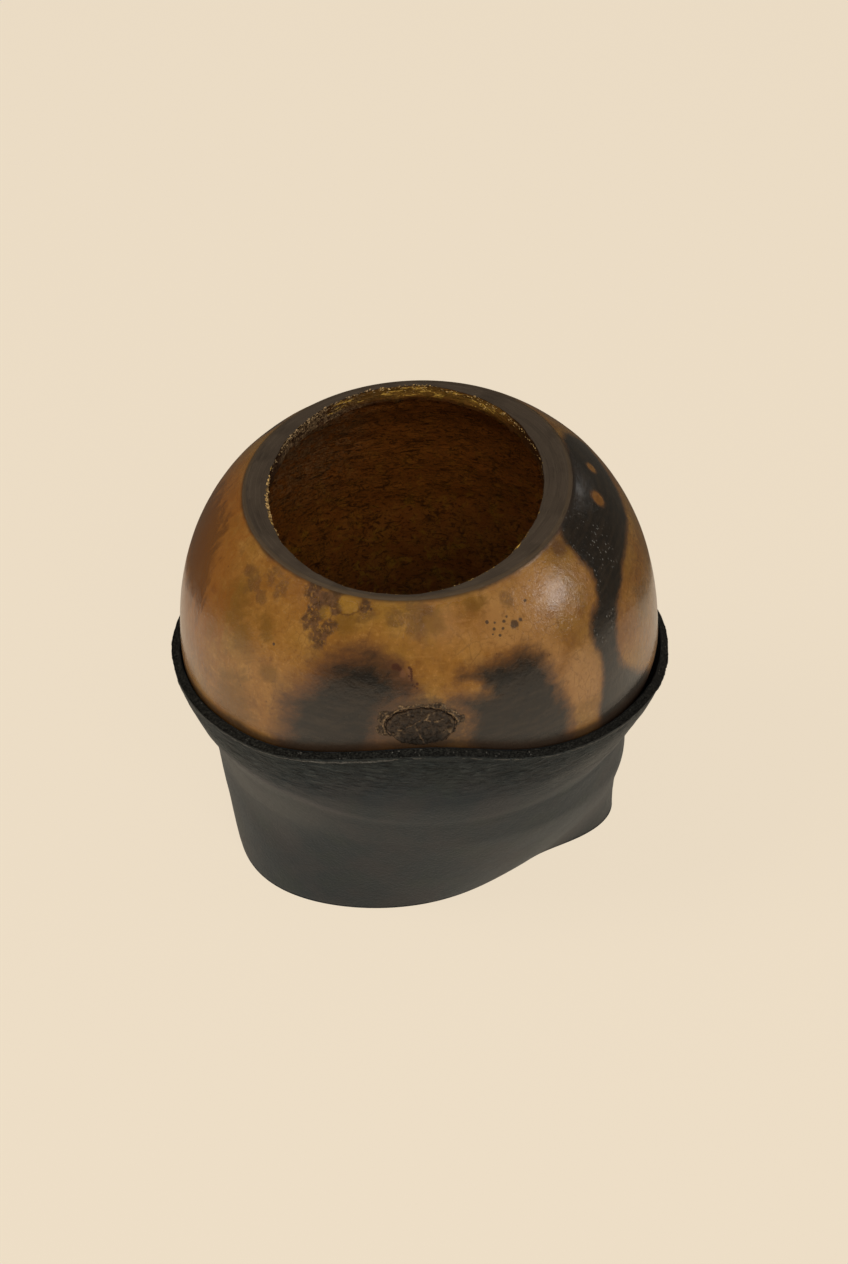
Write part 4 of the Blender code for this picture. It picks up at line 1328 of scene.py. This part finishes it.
def leather_material(sleeve, gourd):
    """Satin black leather with fine wrinkles near its edge, and its raw fibrous cut edge."""
    paint = Paint("formed_leather", Matrix.Translation(gourd.centre))
    drop = paint.attribute("drop")
    cut_edge = paint.attribute("cut_edge")
    cloudy = paint.noise(13.0, detail=4.0, roughness=0.6)
    tinted = paint.noise(9.0, detail=3.0, moved=(13, 5, 8))
    fine = paint.noise(0.9, detail=5.0, roughness=0.65)
    folds = paint.noise(0.42, detail=3.0, roughness=0.55, distortion=0.7, across=0.16)
    fibre = paint.noise(0.45, detail=5.0, roughness=0.7, up=1.6)
    flare = paint.smooth(14.0, 5.0, drop)
    colour = paint.layers(
        sleeve.leather_colour,
        (0.4, 0.65, cloudy, 1.0, 40, 41, 43),
        (0.5, 0.7, tinted, 0.6, 33, 40, 38),
        # Painted shade on the flare just below the upper edge
        (10.0, 3.0, drop, 0.6, 27, 32, 31),
        (0.55, 0.75, fine, 0.35, 58, 57, 56),
        # Painted highlight on the crests of the fine folds, and painted shade in the folds
        (0.53, 0.66, folds, flare * 0.45, 62, 66, 64),
        (0.48, 0.38, folds, flare * 0.75, 10, 12, 12),
        # Painted sheen on the left flank and on the flare at the right
        (0.1, 1.0, paint.attribute("rubbed", cloudy, 0.5), 0.6, 68, 68, 66),
        # Painted highlight along the soft line below the flare
        (0.3, 0.95, paint.attribute("ridge", fine, 0.5, cloudy, 0.4), 0.4, 74, 71, 72),
    )
    edge_colour = paint.layers(
        sleeve.edge_colour,
        (0.43, 0.62, fibre, 1.0, 50, 50, 46),
        (0.24, 0.1, paint.cells(0.8), paint.smooth(0.48, 0.62, paint.noise(2.5)) * 0.5, 150, 146, 138),
    )
    colour = paint.mix(paint.smooth(0.45, 0.75, cut_edge.stirred(fibre, 0.3)), colour, edge_colour)
    colour = paint.layers(colour, (0.4, 0.95, paint.attribute("lip", fine, 0.9), 0.7, 112, 110, 104))
    pores = paint.cells(0.55, up=1.25)
    return paint.finish(
        base_color=colour,
        roughness=(0.52 + 0.25 * cut_edge).stirred(fine, 0.2, cloudy, 0.16),
        normal=paint.reliefs((pores, 0.06), (fine, 0.14), (folds * flare, 0.8), (fibre * cut_edge, 0.55)),
        specular_ior_level=0.4,
    )


# The stage


LAMP_COLOUR = (1.0, 0.97, 0.93)
# Name, place, size, watts and whether it is seen in the pieces' gloss
LAMPS = (
    ("key", (-0.80, -0.40, 0.85), (0.7, 0.7), 6.8, False),
    ("front", (0.18, -1.08, 0.74), (0.5, 0.5), 6.8, False),
    ("window", (0.85, -0.23, 0.42), (0.24, 0.30), 1.0, True),
    ("glint", (0.61, 0.56, 0.44), (0.09, 0.12), 0.06, True),
)
CARD_PLACE = (0, -0.185, 0.0004)
CARD_SIZE = (1.0, 0.63)
FLOOR_SIZE = 12.0
FLOOR_GLOW = 0.945
FLOOR_SHADE = 0.08


def area_light(name, place, target, size, power, colour, shines):
    """A soft lamp; one that doesn't shine lights the pieces but isn't seen in their gloss."""
    data = bpy.data.lights.new(name, "AREA")
    data.shape = "ELLIPSE"
    data.size, data.size_y = size
    data.energy = power
    data.color = colour
    light = bpy.data.objects.new(name, data)
    bpy.context.scene.collection.objects.link(light)
    light.location = place
    light.rotation_euler = (Vector(target) - Vector(place)).to_track_quat("-Z", "Y").to_euler()
    light.visible_glossy = shines
    return light


def add_background(scene, stage):
    """An even background whose light is given for the camera, for gloss and for the rest."""
    scene.world = bpy.data.worlds.new("studio")
    scene.world.use_nodes = True
    nodes, links = scene.world.node_tree.nodes, scene.world.node_tree.links
    background = nodes["Background"]
    background.inputs["Color"].default_value = (*stage.floor_colour, 1)
    ray = nodes.new("ShaderNodeLightPath")
    strength = None
    for kind, light in (("Is Glossy Ray", stage.sky_shine), ("Is Camera Ray", 1.0)):
        share = nodes.new("ShaderNodeMix")
        links.new(ray.outputs[kind], share.inputs["Factor"])
        share.inputs["A"].default_value = stage.sky_light
        share.inputs["B"].default_value = light
        if strength is not None:
            links.new(strength, share.inputs["A"])
        strength = share.outputs["Result"]
    links.new(strength, background.inputs["Strength"])


def add_camera(scene, centre, stage):
    """A camera in front of the gourd that looks down at its middle."""
    camera = bpy.data.objects.new("camera", bpy.data.cameras.new("camera"))
    scene.collection.objects.link(camera)
    tilt = stage.camera_elevation
    back = Vector((0, -math.cos(tilt), math.sin(tilt))) * stage.camera_distance
    camera.location = centre + back + Vector((stage.camera_offset, 0, 0))
    camera.rotation_euler = (math.pi / 2 - tilt, 0, 0)
    camera.data.lens = stage.lens
    camera.data.sensor_width = 36.0
    camera.data.clip_start = 0.01
    camera.data.clip_end = 50.0
    scene.camera = camera


class SCENE_OT_studio(bpy.types.Operator):
    """Add the floor, the lights and the camera"""

    bl_idname = "scene.mate_studio"
    bl_label = "Studio"

    def execute(self, context):
        scene = context.scene
        stage = scene.mate_gourd.stage
        centre = Vector(scene.mate_gourd.gourd.centre)
        start_piece()
        bpy.ops.mesh.primitive_plane_add(size=FLOOR_SIZE, location=(0, 0, 0))
        floor = named_piece("floor")
        floor.data.materials.append(floor_material(stage))
        floor.visible_glossy = False
        add_background(scene, stage)
        for name, place, size, power, shines in LAMPS:
            area_light(name, place, centre, size, power, LAMP_COLOUR, shines)
        # An unseen card on the floor stands in for what the gloss reflects of it
        above = (CARD_PLACE[0], CARD_PLACE[1], 1)
        glow = stage.floor_shine * math.pi**2 / 4 * CARD_SIZE[0] * CARD_SIZE[1]
        card = area_light("floor shine", CARD_PLACE, above, CARD_SIZE, glow, stage.floor_colour, True)
        card.visible_camera = card.visible_diffuse = False
        add_camera(scene, centre, stage)
        scene.view_settings.view_transform = "Standard"
        return {"FINISHED"}


def floor_material(stage):
    made = bpy.data.materials.new("pale_floor")
    made.use_nodes = True
    sockets = made.node_tree.nodes["Principled BSDF"].inputs
    sockets["Base Color"].default_value = (*(FLOOR_SHADE * channel for channel in stage.floor_colour), 1)
    sockets["Roughness"].default_value = 1.0
    sockets["Specular IOR Level"].default_value = 0.0
    sockets["Emission Color"].default_value = (*stage.floor_colour, 1)
    sockets["Emission Strength"].default_value = FLOOR_GLOW
    return made


class VIEW3D_PT_mate_gourd(bpy.types.Panel):
    """Lists the pieces of the mate gourd"""

    bl_label = "Mate Gourd"
    bl_space_type = "VIEW_3D"
    bl_region_type = "UI"
    bl_category = "Mate Gourd"

    def draw(self, context):
        for operator in OPERATORS:
            self.layout.operator(operator.bl_idname)
        settings = context.scene.mate_gourd
        for group in (settings.gourd, settings.sleeve, settings.stage):
            box = self.layout.box()
            for name in group.__annotations__:
                box.prop(group, name)


OPERATORS = (
    MESH_OT_gourd_shell,
    MESH_OT_blossom_scar,
    MESH_OT_hole_flakes,
    MESH_OT_sleeve_leather,
    SCENE_OT_studio,
)
SETTINGS = (GourdSettings, SleeveSettings, StageSettings, MateSettings)
CLASSES = (*SETTINGS, *OPERATORS, VIEW3D_PT_mate_gourd)


def register():
    for cls in CLASSES:
        bpy.utils.register_class(cls)
    bpy.types.Scene.mate_gourd = bpy.props.PointerProperty(type=MateSettings)


def unregister():
    del bpy.types.Scene.mate_gourd
    for cls in reversed(CLASSES):
        bpy.utils.unregister_class(cls)


def main():
    register()
    bpy.ops.mesh.mate_gourd_shell()
    bpy.ops.mesh.mate_blossom_scar()
    bpy.ops.mesh.mate_hole_flakes()
    bpy.ops.mesh.mate_leather_sleeve()
    bpy.ops.scene.mate_studio()


if __name__ == "__main__":
    main()
